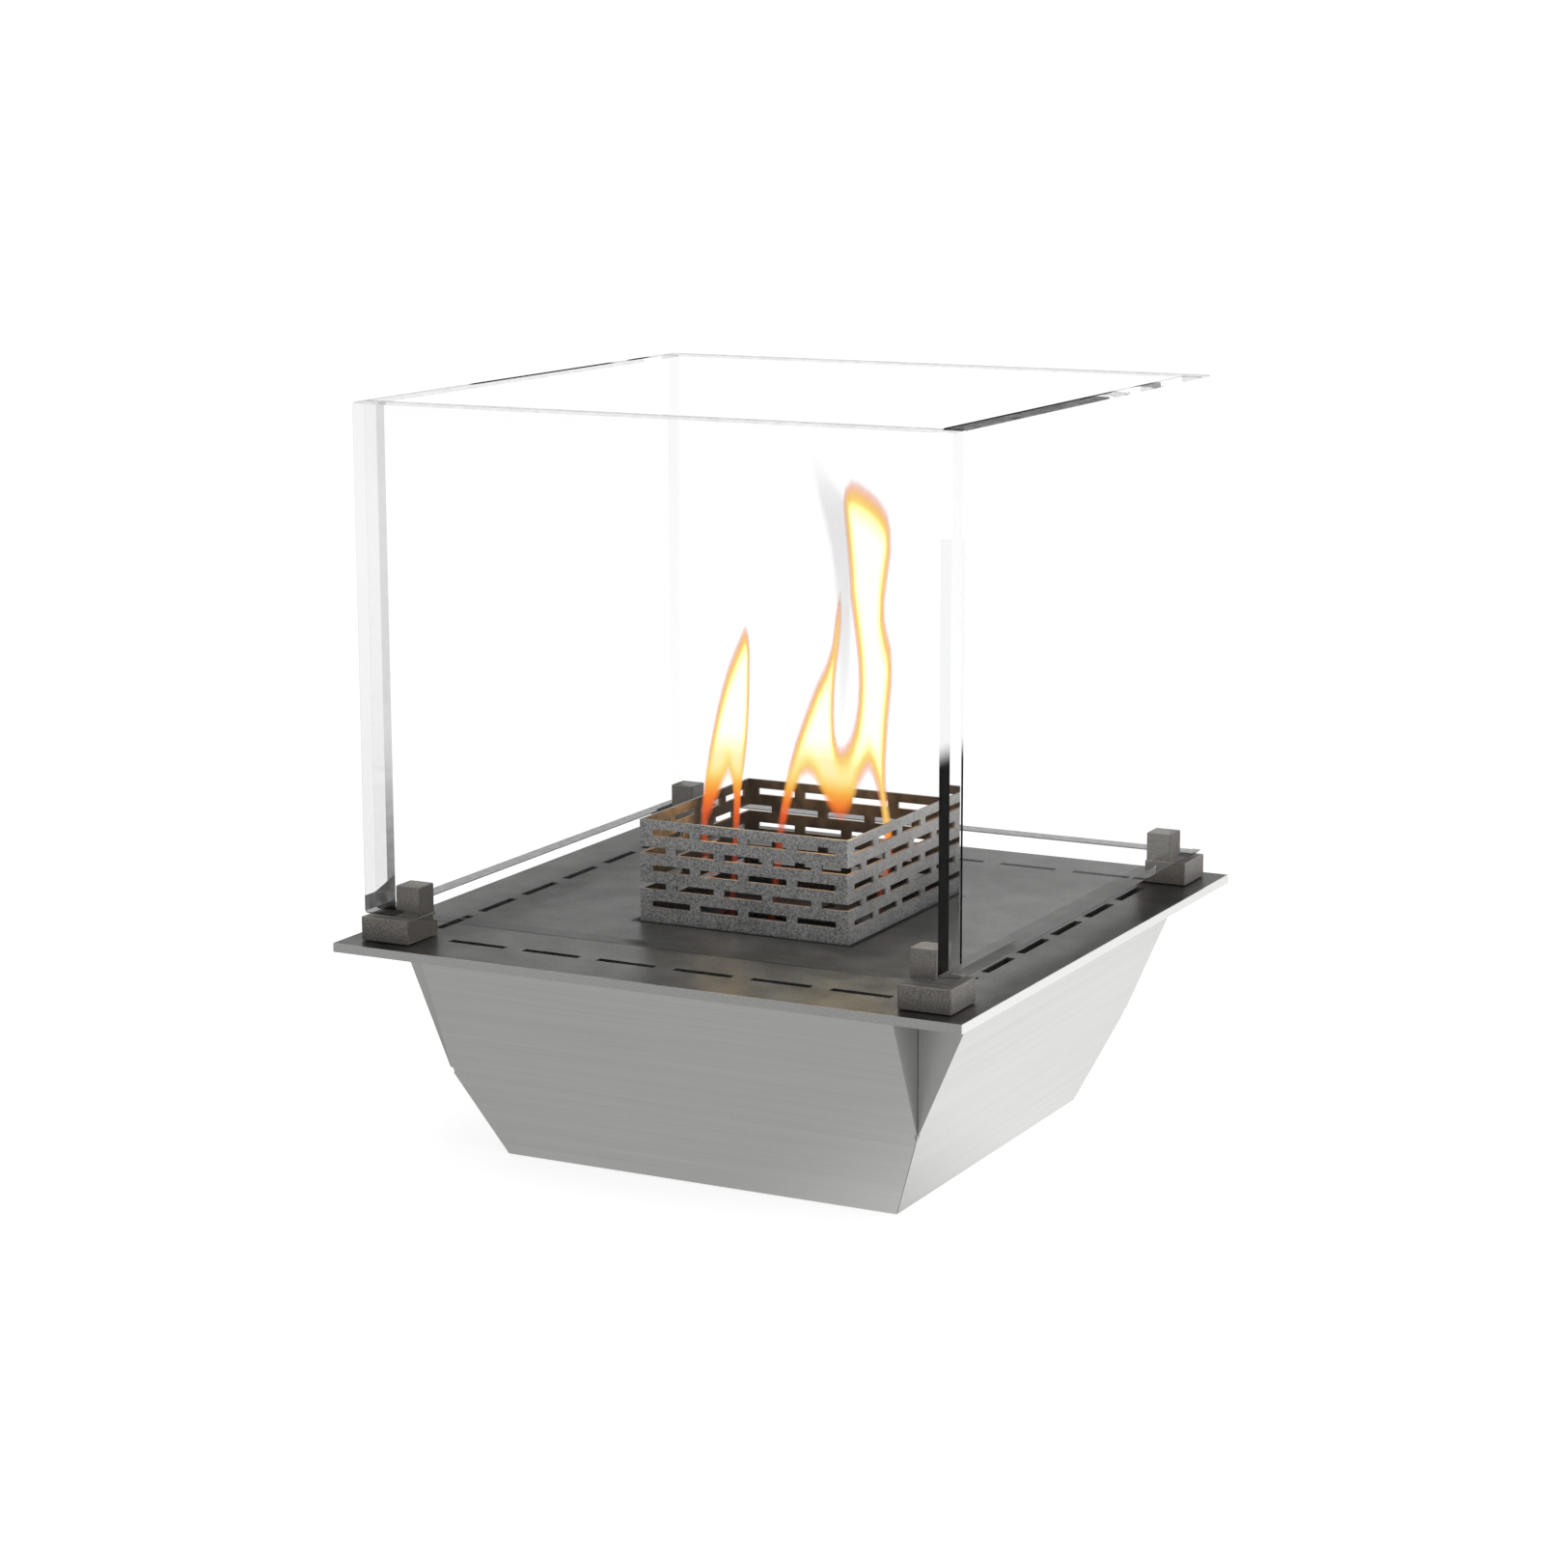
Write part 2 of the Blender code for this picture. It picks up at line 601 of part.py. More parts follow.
def build_burner_tank(material):
    mesh = bmesh.new()
    half = SURROUND_HALF
    add_box(mesh, (-half, -half, TANK_BOTTOM), (half, half, TANK_TOP))
    tank = add_object("burner_tank", mesh, material)
    hollow = bmesh.new()
    inner = TANK_INNER_HALF
    add_box(hollow, (-inner, -inner, TANK_BOTTOM + SHEET), (inner, inner, TANK_TOP + CUT_OVERRUN))
    cut(tank, "tank_hollow", hollow)


def build_wadding(material, mesh_material):
    half = WADDING_HALF
    block = bmesh.new()
    add_box(block, (-half, -half, WADDING_BOTTOM), (half, half, WADDING_TOP))
    add_object("ceramic_wadding", block, material)

    bottom = WADDING_TOP + SEAT_GAP
    top = bottom + MESH_THICKNESS
    sheet = bmesh.new()
    add_box(sheet, (-half, -half, bottom), (half, half, top))
    grid = add_object("wadding_mesh", sheet, mesh_material)
    pitch = MESH_HOLE + MESH_BAR
    count = int((2 * half - MESH_BAR) / pitch)
    holes = bmesh.new()
    for column in range(count):
        for row in range(count):
            x = (column - (count - 1) / 2) * pitch
            y = (row - (count - 1) / 2) * pitch
            add_box(
                holes,
                (x - MESH_HOLE / 2, y - MESH_HOLE / 2, bottom - CUT_OVERRUN),
                (x + MESH_HOLE / 2, y + MESH_HOLE / 2, top + CUT_OVERRUN),
            )
    cut(grid, "mesh_holes", holes)


def build_burner_cover(material):
    """Lid of the tank, with the flame opening and the slot that the damper's tab runs in."""
    half = SURROUND_HALF
    mesh = bmesh.new()
    add_box(mesh, (-half, -half, COVER_BOTTOM), (half, half, COVER_TOP))
    cover = add_object("burner_cover", mesh, material)
    bottom = COVER_BOTTOM - CUT_OVERRUN
    top = COVER_TOP + CUT_OVERRUN
    holes = bmesh.new()
    opening_x = FLAME_OPENING_LENGTH / 2
    opening_y = FLAME_OPENING_WIDTH / 2
    add_box(holes, (-opening_x, -opening_y, bottom), (opening_x, opening_y, top))
    slot_x = TAB_THICKNESS / 2 + SLIDE_GAP
    slot_front = TAB_FRONT - DAMPER_TRAVEL - SLIDE_GAP
    add_box(holes, (-slot_x, slot_front, bottom), (slot_x, TAB_BACK + SLIDE_GAP, top))
    cut(cover, "cover_holes", holes)


def build_damper(material):
    """Sliding lid at its open place, behind the flame opening, with its upright tab."""
    plate = bmesh.new()
    add_box(
        plate,
        (-DAMPER_HALF_LENGTH, DAMPER_FRONT, DAMPER_BOTTOM),
        (DAMPER_HALF_LENGTH, DAMPER_BACK, DAMPER_TOP),
    )
    add_object("damper", plate, material)

    tab = bmesh.new()
    tab_top = COVER_TOP + TAB_RISE
    add_box(
        tab,
        (-TAB_THICKNESS / 2, TAB_FRONT, DAMPER_TOP + SEAT_GAP),
        (TAB_THICKNESS / 2, TAB_BACK, tab_top),
    )
    thing = add_object("damper_tab", tab, material)
    hole = bmesh.new()
    middle = (0, (TAB_FRONT + TAB_BACK) / 2, tab_top - TAB_HOLE_DROP)
    bmesh.ops.create_cone(
        hole,
        cap_ends=True,
        segments=FASTENER_SIDES,
        radius1=TAB_HOLE_RADIUS,
        radius2=TAB_HOLE_RADIUS,
        depth=TAB_THICKNESS + 2 * CUT_OVERRUN,
        matrix=Matrix.Translation(middle) @ Matrix.Rotation(pi / 2, 4, "Y"),
    )
    cut(thing, "hook_hole", hole)


def build_damper_guides(material):
    """An angle under the cover at each end of the damper, which rests on its lip."""
    web_inner = DAMPER_HALF_LENGTH + SLIDE_GAP
    web_outer = web_inner + SHEET
    lip_inner = web_inner - GUIDE_LIP
    top = COVER_BOTTOM - SEAT_GAP
    lip_top = DAMPER_BOTTOM - SEAT_GAP
    lip_bottom = lip_top - SHEET
    front = DAMPER_FRONT - DAMPER_TRAVEL - GUIDE_END_GAP
    back = DAMPER_BACK + GUIDE_END_GAP
    profile = [
        (web_outer, top),
        (web_outer, lip_bottom),
        (lip_inner, lip_bottom),
        (lip_inner, lip_top),
        (web_inner, lip_top),
        (web_inner, top),
    ]
    for side, sign in (("left", -1), ("right", 1)):
        mesh = bmesh.new()
        add_prism(mesh, [(sign * x, front, z) for x, z in profile], (0, back - front, 0))
        add_object("damper_guide_" + side, mesh, material)


def slot_cutters(mesh, offset_row, low, high):
    """One row of slots through all four walls of the surround."""
    reach = SURROUND_HALF + CUT_OVERRUN
    depth = SURROUND_HALF - SHEET - CUT_OVERRUN
    count = SLOTS_IN_FULL_ROW - 1 if offset_row else SLOTS_IN_FULL_ROW
    for side in range(4):
        start = len(mesh.verts)
        for number in range(count):
            left = (number - (count - 1) / 2) * SLOT_PITCH - SLOT_LENGTH / 2
            add_box(mesh, (left, -reach, low), (left + SLOT_LENGTH, -depth, high))
        if offset_row:
            arm = SLOTS_IN_FULL_ROW / 2 * SLOT_PITCH - SLOT_LENGTH / 2
            add_box(mesh, (arm, -reach, low), (reach, -arm, high))
        mesh.verts.ensure_lookup_table()
        bmesh.ops.transform(mesh, matrix=quarter_turn(side), verts=mesh.verts[start:])


def build_burner_surround(material):
    """Square sleeve whose slots lie like bricks, every second row running round the corners."""
    half = SURROUND_HALF
    mesh = bmesh.new()
    add_box(mesh, (-half, -half, SURROUND_BOTTOM), (half, half, SURROUND_TOP))
    surround = add_object("burner_surround", mesh, material)

    cutters = bmesh.new()
    inner = half - SHEET
    add_box(
        cutters,
        (-inner, -inner, SURROUND_BOTTOM - CUT_OVERRUN),
        (inner, inner, SURROUND_TOP + CUT_OVERRUN),
    )
    cut(surround, "sleeve_bore", cutters)
    slots = bmesh.new()
    for row in range(SLOT_ROWS):
        low = FIRST_ROW + row * ROW_PITCH
        slot_cutters(slots, row % 2 == 1, low, low + SLOT_HEIGHT)
    cut(surround, "brick_slots", slots)


def build():
    clear_scene()
    plate_steel = make_material("dark_satin_steel", (0.19, 0.19, 0.19), 0.35, 0.9)
    brushed = make_material("brushed_steel", (0.55, 0.55, 0.55), 0.3, 1.0)
    glass = make_material("clear_glass", (0.98, 0.99, 0.99), 0.02, 0.0, 1.0)
    bracket_steel = make_material("dark_bracket", (0.08, 0.075, 0.07), 0.45, 0.5)
    surround_steel = make_material("satin_steel", (0.33, 0.33, 0.33), 0.4, 0.9)
    burner_steel = make_material("burner_steel", (0.25, 0.24, 0.23), 0.4, 0.9)
    ceramic = make_material("ceramic_fibre", (0.85, 0.84, 0.8), 0.95, 0.0)
    silicone = make_material("clear_silicone", (0.75, 0.75, 0.75), 0.4, 0.0)

    build_top_plate(plate_steel)
    build_rim_seal(silicone)
    for turn, side in enumerate(SIDES):
        build_casing_panel(side, turn, brushed)
    build_casing_floor(brushed)
    build_brackets(bracket_steel)
    build_bracket_screws(burner_steel)
    build_glass_pads(silicone)
    build_glass_panes(glass)
    build_casing_nuts(burner_steel)
    build_burner_cradle(burner_steel)
    build_cradle_nuts(burner_steel)
    build_burner_tank(burner_steel)
    build_wadding(ceramic, burner_steel)
    build_burner_cover(burner_steel)
    build_damper(burner_steel)
    build_damper_guides(burner_steel)
    build_burner_surround(surround_steel)


build()
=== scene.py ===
"""Looks of the built-in ethanol fireplace: materials, flames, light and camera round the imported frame."""

from math import radians

import bpy
import numpy as np
from mathutils import Matrix, Vector


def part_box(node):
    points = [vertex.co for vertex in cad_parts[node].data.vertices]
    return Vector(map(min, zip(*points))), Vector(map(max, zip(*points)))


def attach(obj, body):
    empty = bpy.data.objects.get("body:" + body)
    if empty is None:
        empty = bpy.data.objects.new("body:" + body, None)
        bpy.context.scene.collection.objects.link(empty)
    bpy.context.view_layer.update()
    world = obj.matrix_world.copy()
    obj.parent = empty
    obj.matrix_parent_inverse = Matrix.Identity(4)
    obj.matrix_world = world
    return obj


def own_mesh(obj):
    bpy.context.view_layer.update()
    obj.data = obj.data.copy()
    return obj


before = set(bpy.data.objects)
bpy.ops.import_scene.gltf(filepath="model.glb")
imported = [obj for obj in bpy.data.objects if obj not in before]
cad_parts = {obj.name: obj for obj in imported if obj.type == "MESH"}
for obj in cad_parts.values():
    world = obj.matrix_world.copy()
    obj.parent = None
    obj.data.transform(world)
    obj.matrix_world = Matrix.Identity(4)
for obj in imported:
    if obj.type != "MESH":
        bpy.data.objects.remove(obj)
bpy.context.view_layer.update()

MM = 0.001
WHITE = (1, 1, 1, 1)
NOISE_SPAN = (0.3, 0.7)  # nearly all values of a noise lie in here

# Heights of the frame, for the flames
PLATE_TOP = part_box("top_plate")[1][2]
FLAME_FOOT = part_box("burner_cover")[1][2] + 0.2 * MM

# Light
FLOOR_GRADE = (-0.1, 0.14, 0.58, 1.28)  # x + y at the two ends, and the floor's brightness in metal there: painted shade at the front left, painted light at the back right
FLOOR_RING = (0.3, 0.75)  # distances from the middle between which that grading fades away
FLOOR_HALF = 8.0
FLOOR_DROP = 0.5 * MM  # room between the floor and the casing's foot
WORLD_GRADE = (-1.2, 1.2, 0.75, 1.02)  # the same as the floor's for the surroundings, by direction
WORLD_DIFFUSE = 0.92  # brightness of the surroundings as a light on matt surfaces

# Places on the pieces, in metres, where a material changes
FLANGE_INSET = (113.1 * MM, 113.7 * MM)  # the return flanges' corner, which gets painted shade, has both x and y beyond this
PLATE_EDGE = 149.6 * MM  # the plate's cut edges lie beyond this
GAP_SHADE_RING = 55.0 * MM  # the painted shade of the gap round the surround's foot ends here
BRACKET_FOOT = (103 * MM, 112 * MM)  # heights between which the painted shade at the brackets' feet ends
SURROUND_WALL = (50.1 * MM, 51.2 * MM)  # the surround's inner colours give way to the outer ones in between
SURROUND_RIGHT = 50.8 * MM  # its right face lies beyond this
SURROUND_LIT = (104 * MM, 138 * MM)  # heights between which the painted light on the right face grows
SURROUND_DARK_FOOT = (112 * MM, 134 * MM)  # heights between which the dark of the inner foot ends
SURROUND_GLOW = (112 * MM, 138 * MM)  # heights between which the painted flame light on the slots' edges grows
SURROUND_SLOTS = 147 * MM  # all slots lie below this
OPENING_HEAT = (8 * MM, 45 * MM)  # distances from the opening's middle between which the heat tints change

# How much of a unit normal must lie along an axis for a face to count as facing that way
FACING_BROAD = 0.9
FACING_SLOT = 0.7
FACING_PLAIN = 0.5

# Glass
GLASS_INDEX = 1.11  # lower than the real 1.5, or the near corner's dark strip would be twice too wide
GLASS_TINTS = ((0.969, 0.971, 0.97, 1), (0.963, 0.965, 0.964, 1))
GLASS_TINT_STRAIGHT = (0.983, 0.985, 0.984, 1)  # for a ray that passes a face unbent
CAUGHT_DEPTH = 2.5  # a ray is caught inside a pane after more glossy bounces than this
LAYERS_DEPTH = 1.5  # a ray that has crossed more clear layers than this goes straight on
BEHIND_DEPTH = 0.5  # a ray has met another pane after more glossy bounces than this
GLASS_LOW, GLASS_HIGH = 140 * MM, 300 * MM  # bottom edges lie below the first, top edges above the second
STRIP_SIDES = (-20 * MM, 20 * MM)  # between these the painted tone of caught rays changes from left to right
STRIP_TOP = (186 * MM, 198 * MM)  # heights between which the near corner's painted dark strip ends
BEHIND_TOP = 190 * MM  # and where it ends on an edge that is seen through a pane
CORNER = 120 * MM  # a corner's upright edges have both x and y beyond this
CORNER_SPLIT = 133.5 * MM  # between the inner and the outer part of those edges
CORNER_HEIGHTS = (120 * MM, 130 * MM, 200 * MM, 300 * MM)  # where their painted tones change
CORNER_FOOT = (122.4 * MM, 140 * MM, 0.84)  # height of their painted dark foot, this far to the left, and its slope
FAR_EDGE = 125 * MM  # the back and the left bottom edge lie beyond this
GLASS_HALF, GLASS_THICKNESS = 140, 10  # mm
EDGE_SHEEN = 0.006  # share of a soft mirror on the edges
RIGHT_STRETCHES = ((-135, 21, 1.0), (21, 45, 0.75), (69, 93, 0.6))  # painted dark reflections on the top edge: start, end in mm along y, and strength
LEFT_STRETCHES = ((-46, 77, 0.95), (95, 112, 0.9))
STRETCH_BLUR = 3  # mm

# Camera, fitted to corners measured in the photograph
LENS = 83.538
SENSOR = 36
CAMERA_PLACE = (0.72816, -1.42341, 0.48291)
CAMERA_TURNS = ((27.3105, "Z"), (78.5598, "X"), (-0.129, "Z"))


def level(value):
    """Linear value of a display level from 0 to 255, by the sRGB curve."""
    share = value / 255
    return share / 12.92 if share <= 0.04045 else ((share + 0.055) / 1.055) ** 2.4


def tint(red, green, blue):
    """Colour of three display levels."""
    return (level(red), level(green), level(blue), 1)


def grey(value):
    """Grey of a display level."""
    return tint(value, value, value)


class Nodes:
    """A node tree built in small steps."""

    def __init__(self, tree):
        self.tree = tree
        tree.nodes.clear()

    def add(self, kind, values=None, **settings):
        """New node with these settings and input values."""
        node = self.tree.nodes.new(kind)
        for key, value in settings.items():
            setattr(node, key, value)
        for key, value in (values or {}).items():
            self.feed(node.inputs[key], value)
        return node

    def feed(self, socket, value):
        """Wire an output to an input, or set the input's own value."""
        if isinstance(value, bpy.types.NodeSocket):
            self.tree.links.new(value, socket)
        else:
            socket.default_value = value

    def maths(self, operation, first, second=0.0):
        return self.add("ShaderNodeMath", {0: first, 1: second}, operation=operation).outputs[0]

    def scaled(self, value, low, high, to_low, to_high, **settings):
        """Map low to high onto to_low to to_high, held at the ends."""
        values = {"Value": value, "From Min": low, "From Max": high, "To Min": to_low, "To Max": to_high}
        return self.add("ShaderNodeMapRange", values, **settings).outputs["Result"]


class Look(Nodes):
    """A node material, in the object's own metres."""

    def __init__(self, name):
        self.material = bpy.data.materials.new(name)
        self.material.use_nodes = True
        super().__init__(self.material.node_tree)
        self.place = self.add("ShaderNodeTexCoord").outputs["Object"]

    def noise(self, stretch, detail=2.0, roughness=0.5, warp=0.0, shift=0.0):
        """Noise from 0 to 1 with this many features to the metre, all ways or along x, y and z."""
        along = stretch if isinstance(stretch, tuple) else (stretch,) * 3
        values = {0: self.place, 1: along, 2: (shift,) * 3}
        moved = self.add("ShaderNodeVectorMath", values, operation="MULTIPLY_ADD").outputs[0]
        values = {"Vector": moved, "Scale": 1.0, "Detail": detail, "Roughness": roughness}
        values["Distortion"] = warp
        return self.add("ShaderNodeTexNoise", values).outputs["Fac"]

    def above(self, value, limit):
        return self.maths("GREATER_THAN", value, limit)

    def below(self, value, limit):
        return self.maths("LESS_THAN", value, limit)

    def size(self, value):
        return self.maths("ABSOLUTE", value)

    def times(self, first, second):
        return self.maths("MULTIPLY", first, second)

    def either(self, first, second):
        return self.maths("MAXIMUM", first, second)

    def opposite(self, value):
        """1 minus the value."""
        return self.maths("SUBTRACT", 1.0, value)

    def weighed(self, first, *others):
        """Sum of values, each given with its weight."""
        total = self.times(*first)
        for value, weight in others:
            total = self.maths("ADD", total, self.times(value, weight))
        return total

    def swayed(self, value, noise, width):
        """The value, moved to and fro by a noise over this width."""
        return self.maths("ADD", value, self.times(self.maths("SUBTRACT", noise, 0.5), width))

    def ranged(self, value, low, high, to_low=0.0, to_high=1.0):
        """Map low to high onto to_low to to_high, smoothly and held at the ends."""
        return self.scaled(value, low, high, to_low, to_high, interpolation_type="SMOOTHSTEP")

    def spread(self, noise, to_low=0.0, to_high=1.0):
        """Map a noise's usual values onto to_low to to_high."""
        return self.ranged(noise, *NOISE_SPAN, to_low, to_high)

    def mixed(self, share, first, second):
        """Colour between two colours."""
        node = self.add("ShaderNodeMix", data_type="RGBA", blend_type="MIX")
        for socket, value in ((node.inputs[0], share), (node.inputs[6], first), (node.inputs[7], second)):
            self.feed(socket, value)
        return node.outputs[2]

    def ramp(self, share, stops, span=1.0):
        """Colour by a share from 0 to 1, from stops given as a place from 0 to span and a colour."""
        node = self.add("ShaderNodeValToRGB", {"Fac": share})
        elements = node.color_ramp.elements
        elements.remove(elements[1])
        for number, (place, colour) in enumerate(stops):
            element = elements[0] if number == 0 else elements.new(place / span)
            element.position = place / span
            element.color = colour
        return node.outputs["Color"]

    def axes(self):
        """The place's x, y and z."""
        return self.add("ShaderNodeSeparateXYZ", {0: self.place}).outputs

    def facing(self):
        """The surface normal's X, Y and Z."""
        normal = self.add("ShaderNodeNewGeometry").outputs["Normal"]
        return self.add("ShaderNodeSeparateXYZ", {0: normal}).outputs

    def stored(self, label):
        """A value stored at the mesh's points."""
        return self.add("ShaderNodeAttribute", attribute_name=label).outputs["Fac"]

    def path(self, *names):
        """1 for rays of any of these kinds."""
        rays = self.add("ShaderNodeLightPath").outputs
        found = rays[names[0]]
        for name in names[1:]:
            found = self.either(found, rays[name])
        return found

    def bump(self, height, depth):
        """Normal of a surface raised by up to depth metres."""
        values = {"Height": height, "Distance": depth, "Strength": 1.0}
        return self.add("ShaderNodeBump", values).outputs["Normal"]

    def principled(self, **values):
        """Principled shader from inputs named with underscores."""
        named = {key.replace("_", " "): value for key, value in values.items()}
        return self.add("ShaderNodeBsdfPrincipled", named).outputs["BSDF"]

    def clear(self, colour=WHITE):
        return self.add("ShaderNodeBsdfTransparent", {"Color": colour}).outputs[0]

    def matt(self, colour):
        return self.add("ShaderNodeBsdfDiffuse", {"Color": colour}).outputs[0]

    def glowing(self, colour, strength):
        return self.add("ShaderNodeEmission", {"Color": colour, "Strength": strength}).outputs[0]

    def blended(self, share, first, second):
        """Shader between two shaders."""
        return self.add("ShaderNodeMixShader", {0: share, 1: first, 2: second}).outputs[0]

    def finish(self, surface):
        self.add("ShaderNodeOutputMaterial", {"Surface": surface})
        return self.material


def brushed_steel(name, along_x):
    """Brushed sheet: streaks and bands along the panel, grain, faint clouds, painted shade on the return
    flanges.
    """
    look = Look(name)
    streaks = look.noise((9, 700, 2600) if along_x else (700, 9, 2600), 3, 0.6)
    bands = look.noise((3, 120, 420) if along_x else (120, 3, 420), 2, 0.5, shift=7.0)
    grain = look.noise(1900, 1, 0.5)
    clouds = look.noise(9, 2, 0.5, shift=3.0)
    value = look.weighed((streaks, 0.5), (bands, 0.25), (grain, 0.25))
    colour = look.mixed(look.spread(value), tint(190, 190, 188), tint(208, 208, 207))
    colour = look.mixed(look.spread(clouds, 0.0, 0.25), colour, tint(208, 206, 203))
    x, y, _ = look.axes()
    inset = look.maths("MINIMUM", look.size(x), look.size(y))
    # Painted shade on the return flanges at the corners
    colour = look.mixed(look.ranged(inset, *FLANGE_INSET, 0.0, 0.85), colour, tint(164, 164, 162))
    rough = look.spread(look.weighed((streaks, 0.7), (clouds, 0.3)), 0.34, 0.46)
    height = look.weighed((streaks, 0.8), (grain, 0.2))
    shader = look.principled(
        Base_Color=colour, Metallic=1.0, Roughness=rough, Normal=look.bump(height, 0.06 * MM)
    )
    return look.finish(shader)


def satin_plate():
    """Dark satin plate with fine grain, smudged reflections, paler cut edges with a painted highlight on
    the side ones, and painted shade round the surround's foot.
    """
    look = Look("dark_satin_plate")
    grain = look.noise(1500, 2, 0.55)
    cloth = look.noise(60, 3, 0.6, shift=2.0)
    smudge = look.noise(14, 3, 0.55, 0.4, shift=5.0)
    value = look.weighed((grain, 0.6), (cloth, 0.4))
    colour = look.mixed(look.spread(value), tint(102, 102, 101), tint(150, 150, 149))
    x, y, _ = look.axes()
    reach = look.either(look.size(x), look.size(y))
    cut_edge = look.above(reach, PLATE_EDGE)
    ground = look.mixed(look.spread(grain), tint(150, 150, 149), tint(168, 168, 167))
    # The cut edges are paler metal, and those at the sides also get a painted highlight
    side_edge_painted_highlight = look.mixed(look.spread(grain), tint(212, 212, 211), tint(228, 228, 227))
    edge = look.mixed(look.above(look.size(x), PLATE_EDGE), ground, side_edge_painted_highlight)
    colour = look.mixed(cut_edge, colour, edge)
    # Painted shade of the gap round the surround's foot
    colour = look.mixed(look.below(reach, GAP_SHADE_RING), colour, tint(34, 33, 32))
    rough = look.spread(look.weighed((cloth, 0.4), (smudge, 0.6)), 0.285, 0.37)
    shader = look.principled(
        Base_Color=colour, Metallic=1.0, Roughness=rough,
        Specular_Tint=look.mixed(cut_edge, (0.5, 0.5, 0.5, 1), WHITE), Normal=look.bump(grain, 0.02 * MM),
    )
    return look.finish(shader)


def dark_coat():
    """Pebbled brownish black coating, with painted shade at the brackets' feet and on the left ones' right
    faces.
    """
    look = Look("dark_bracket_coating")
    pebble = look.noise(1700, 2, 0.6)
    patches = look.noise(120, 3, 0.6, shift=4.0)
    colour = look.mixed(look.ranged(pebble, 0.32, 0.68), tint(68, 65, 62), tint(108, 104, 99))
    colour = look.mixed(look.ranged(patches, 0.4, 0.75, 0.0, 0.3), colour, tint(104, 98, 92))
    # Painted shade: darker at the brackets' feet and on the right faces of the left brackets
    x, _, z = look.axes()
    right_face = look.above(look.facing()["X"], FACING_PLAIN)
    painted_shade_side = look.times(right_face, look.below(x, 0.0))
    painted_shade_share = 0.45
    low = look.ranged(z, *BRACKET_FOOT, painted_shade_share, 0.0)
    colour = look.mixed(look.either(low, look.times(painted_shade_side, painted_shade_share)), colour, tint(34, 32, 31))
    shader = look.principled(
        Base_Color=colour, Metallic=0.25, Roughness=look.spread(patches, 0.42, 0.56),
        Normal=look.bump(pebble, 0.06 * MM),
    )
    return look.finish(shader)


def surround_sheet():
    """Grained satin sheet with painted light on its right face, sooty inside and darker towards the inner
    foot, with painted flame light on the edges of its slots.
    """
    look = Look("surround_sheet")
    grain = look.noise(1700, 2, 0.6)
    patches = look.noise(50, 3, 0.6, shift=6.0)
    soot = look.noise((160, 160, 90), 3, 0.6, shift=1.0)
    x, y, z = look.axes()
    reach = look.either(look.size(x), look.size(y))
    value = look.ranged(look.weighed((grain, 0.85), (patches, 0.15)), 0.36, 0.64)
    outer = look.mixed(value, tint(96, 96, 96), tint(158, 157, 156))
    # Painted light on the right face, growing upward
    painted_right_light = look.times(look.above(x, SURROUND_RIGHT), look.ranged(z, *SURROUND_LIT, 0.0, 0.85))
    outer = look.mixed(painted_right_light, outer, look.mixed(value, tint(142, 141, 139), tint(190, 189, 187)))
    inner = look.mixed(look.spread(soot), tint(66, 56, 48), tint(98, 84, 70))
    # Darker towards the inner foot
    inner = look.mixed(look.ranged(z, *SURROUND_DARK_FOOT), tint(30, 26, 24), inner)
    colour = look.mixed(look.ranged(reach, *SURROUND_WALL), inner, outer)
    # Painted flame light: a warm colour on the level edges of the slots
    upright = look.size(look.facing()["Z"])
    slot_edge = look.times(look.above(upright, FACING_SLOT), look.below(z, SURROUND_SLOTS))
    painted_flame_light = look.times(slot_edge, look.ranged(z, *SURROUND_GLOW, 0.15, 0.9))
    colour = look.mixed(painted_flame_light, colour, tint(148, 112, 74))
    shader = look.principled(
        Base_Color=colour, Metallic=0.8, Roughness=look.spread(patches, 0.38, 0.5),
        Specular_Tint=(0.8, 0.8, 0.8, 1), Normal=look.bump(grain, 0.02 * MM),
    )
    return look.finish(shader)


def burnt_steel():
    """Burner sheet with blue, brown and straw heat tints round the flame opening."""
    look = Look("heat_tinted_steel")
    x, y, _ = look.axes()
    grain = look.noise(1400, 2, 0.6)
    clouds = look.noise(55, 4, 0.6, 0.5)
    reach = look.either(look.times(look.size(x), 0.45), look.size(y))
    heat = look.ranged(look.swayed(reach, clouds, 18 * MM), *OPENING_HEAT)
    stops = (
        (0.0, tint(44, 38, 36)), (0.25, tint(56, 58, 72)), (0.5, tint(88, 70, 54)),
        (0.8, tint(92, 84, 72)), (1.0, tint(80, 78, 76)),
    )
    colour = look.mixed(look.spread(grain, 0.0, 0.25), look.ramp(heat, stops), tint(58, 54, 50))
    shader = look.principled(
        Base_Color=colour, Metallic=1.0, Roughness=look.spread(clouds, 0.36, 0.52),
        Normal=look.bump(grain, 0.03 * MM),
    )
    return look.finish(shader)


def zinc():
    """Zinc-plated fasteners with a faint crystal mottle."""
    look = Look("zinc_plating")
    values = {"Vector": look.place, "Scale": 1200.0}
    crystals = look.add("ShaderNodeTexVoronoi", values, feature="F1").outputs["Distance"]
    clouds = look.noise(300, 2, 0.5)
    colour = look.mixed(look.ranged(crystals, 0.1, 0.7), tint(176, 176, 172), tint(150, 151, 150))
    shader = look.principled(
        Base_Color=colour, Metallic=1.0, Roughness=look.spread(clouds, 0.28, 0.42),
        Normal=look.bump(crystals, 0.01 * MM),
    )
    return look.finish(shader)


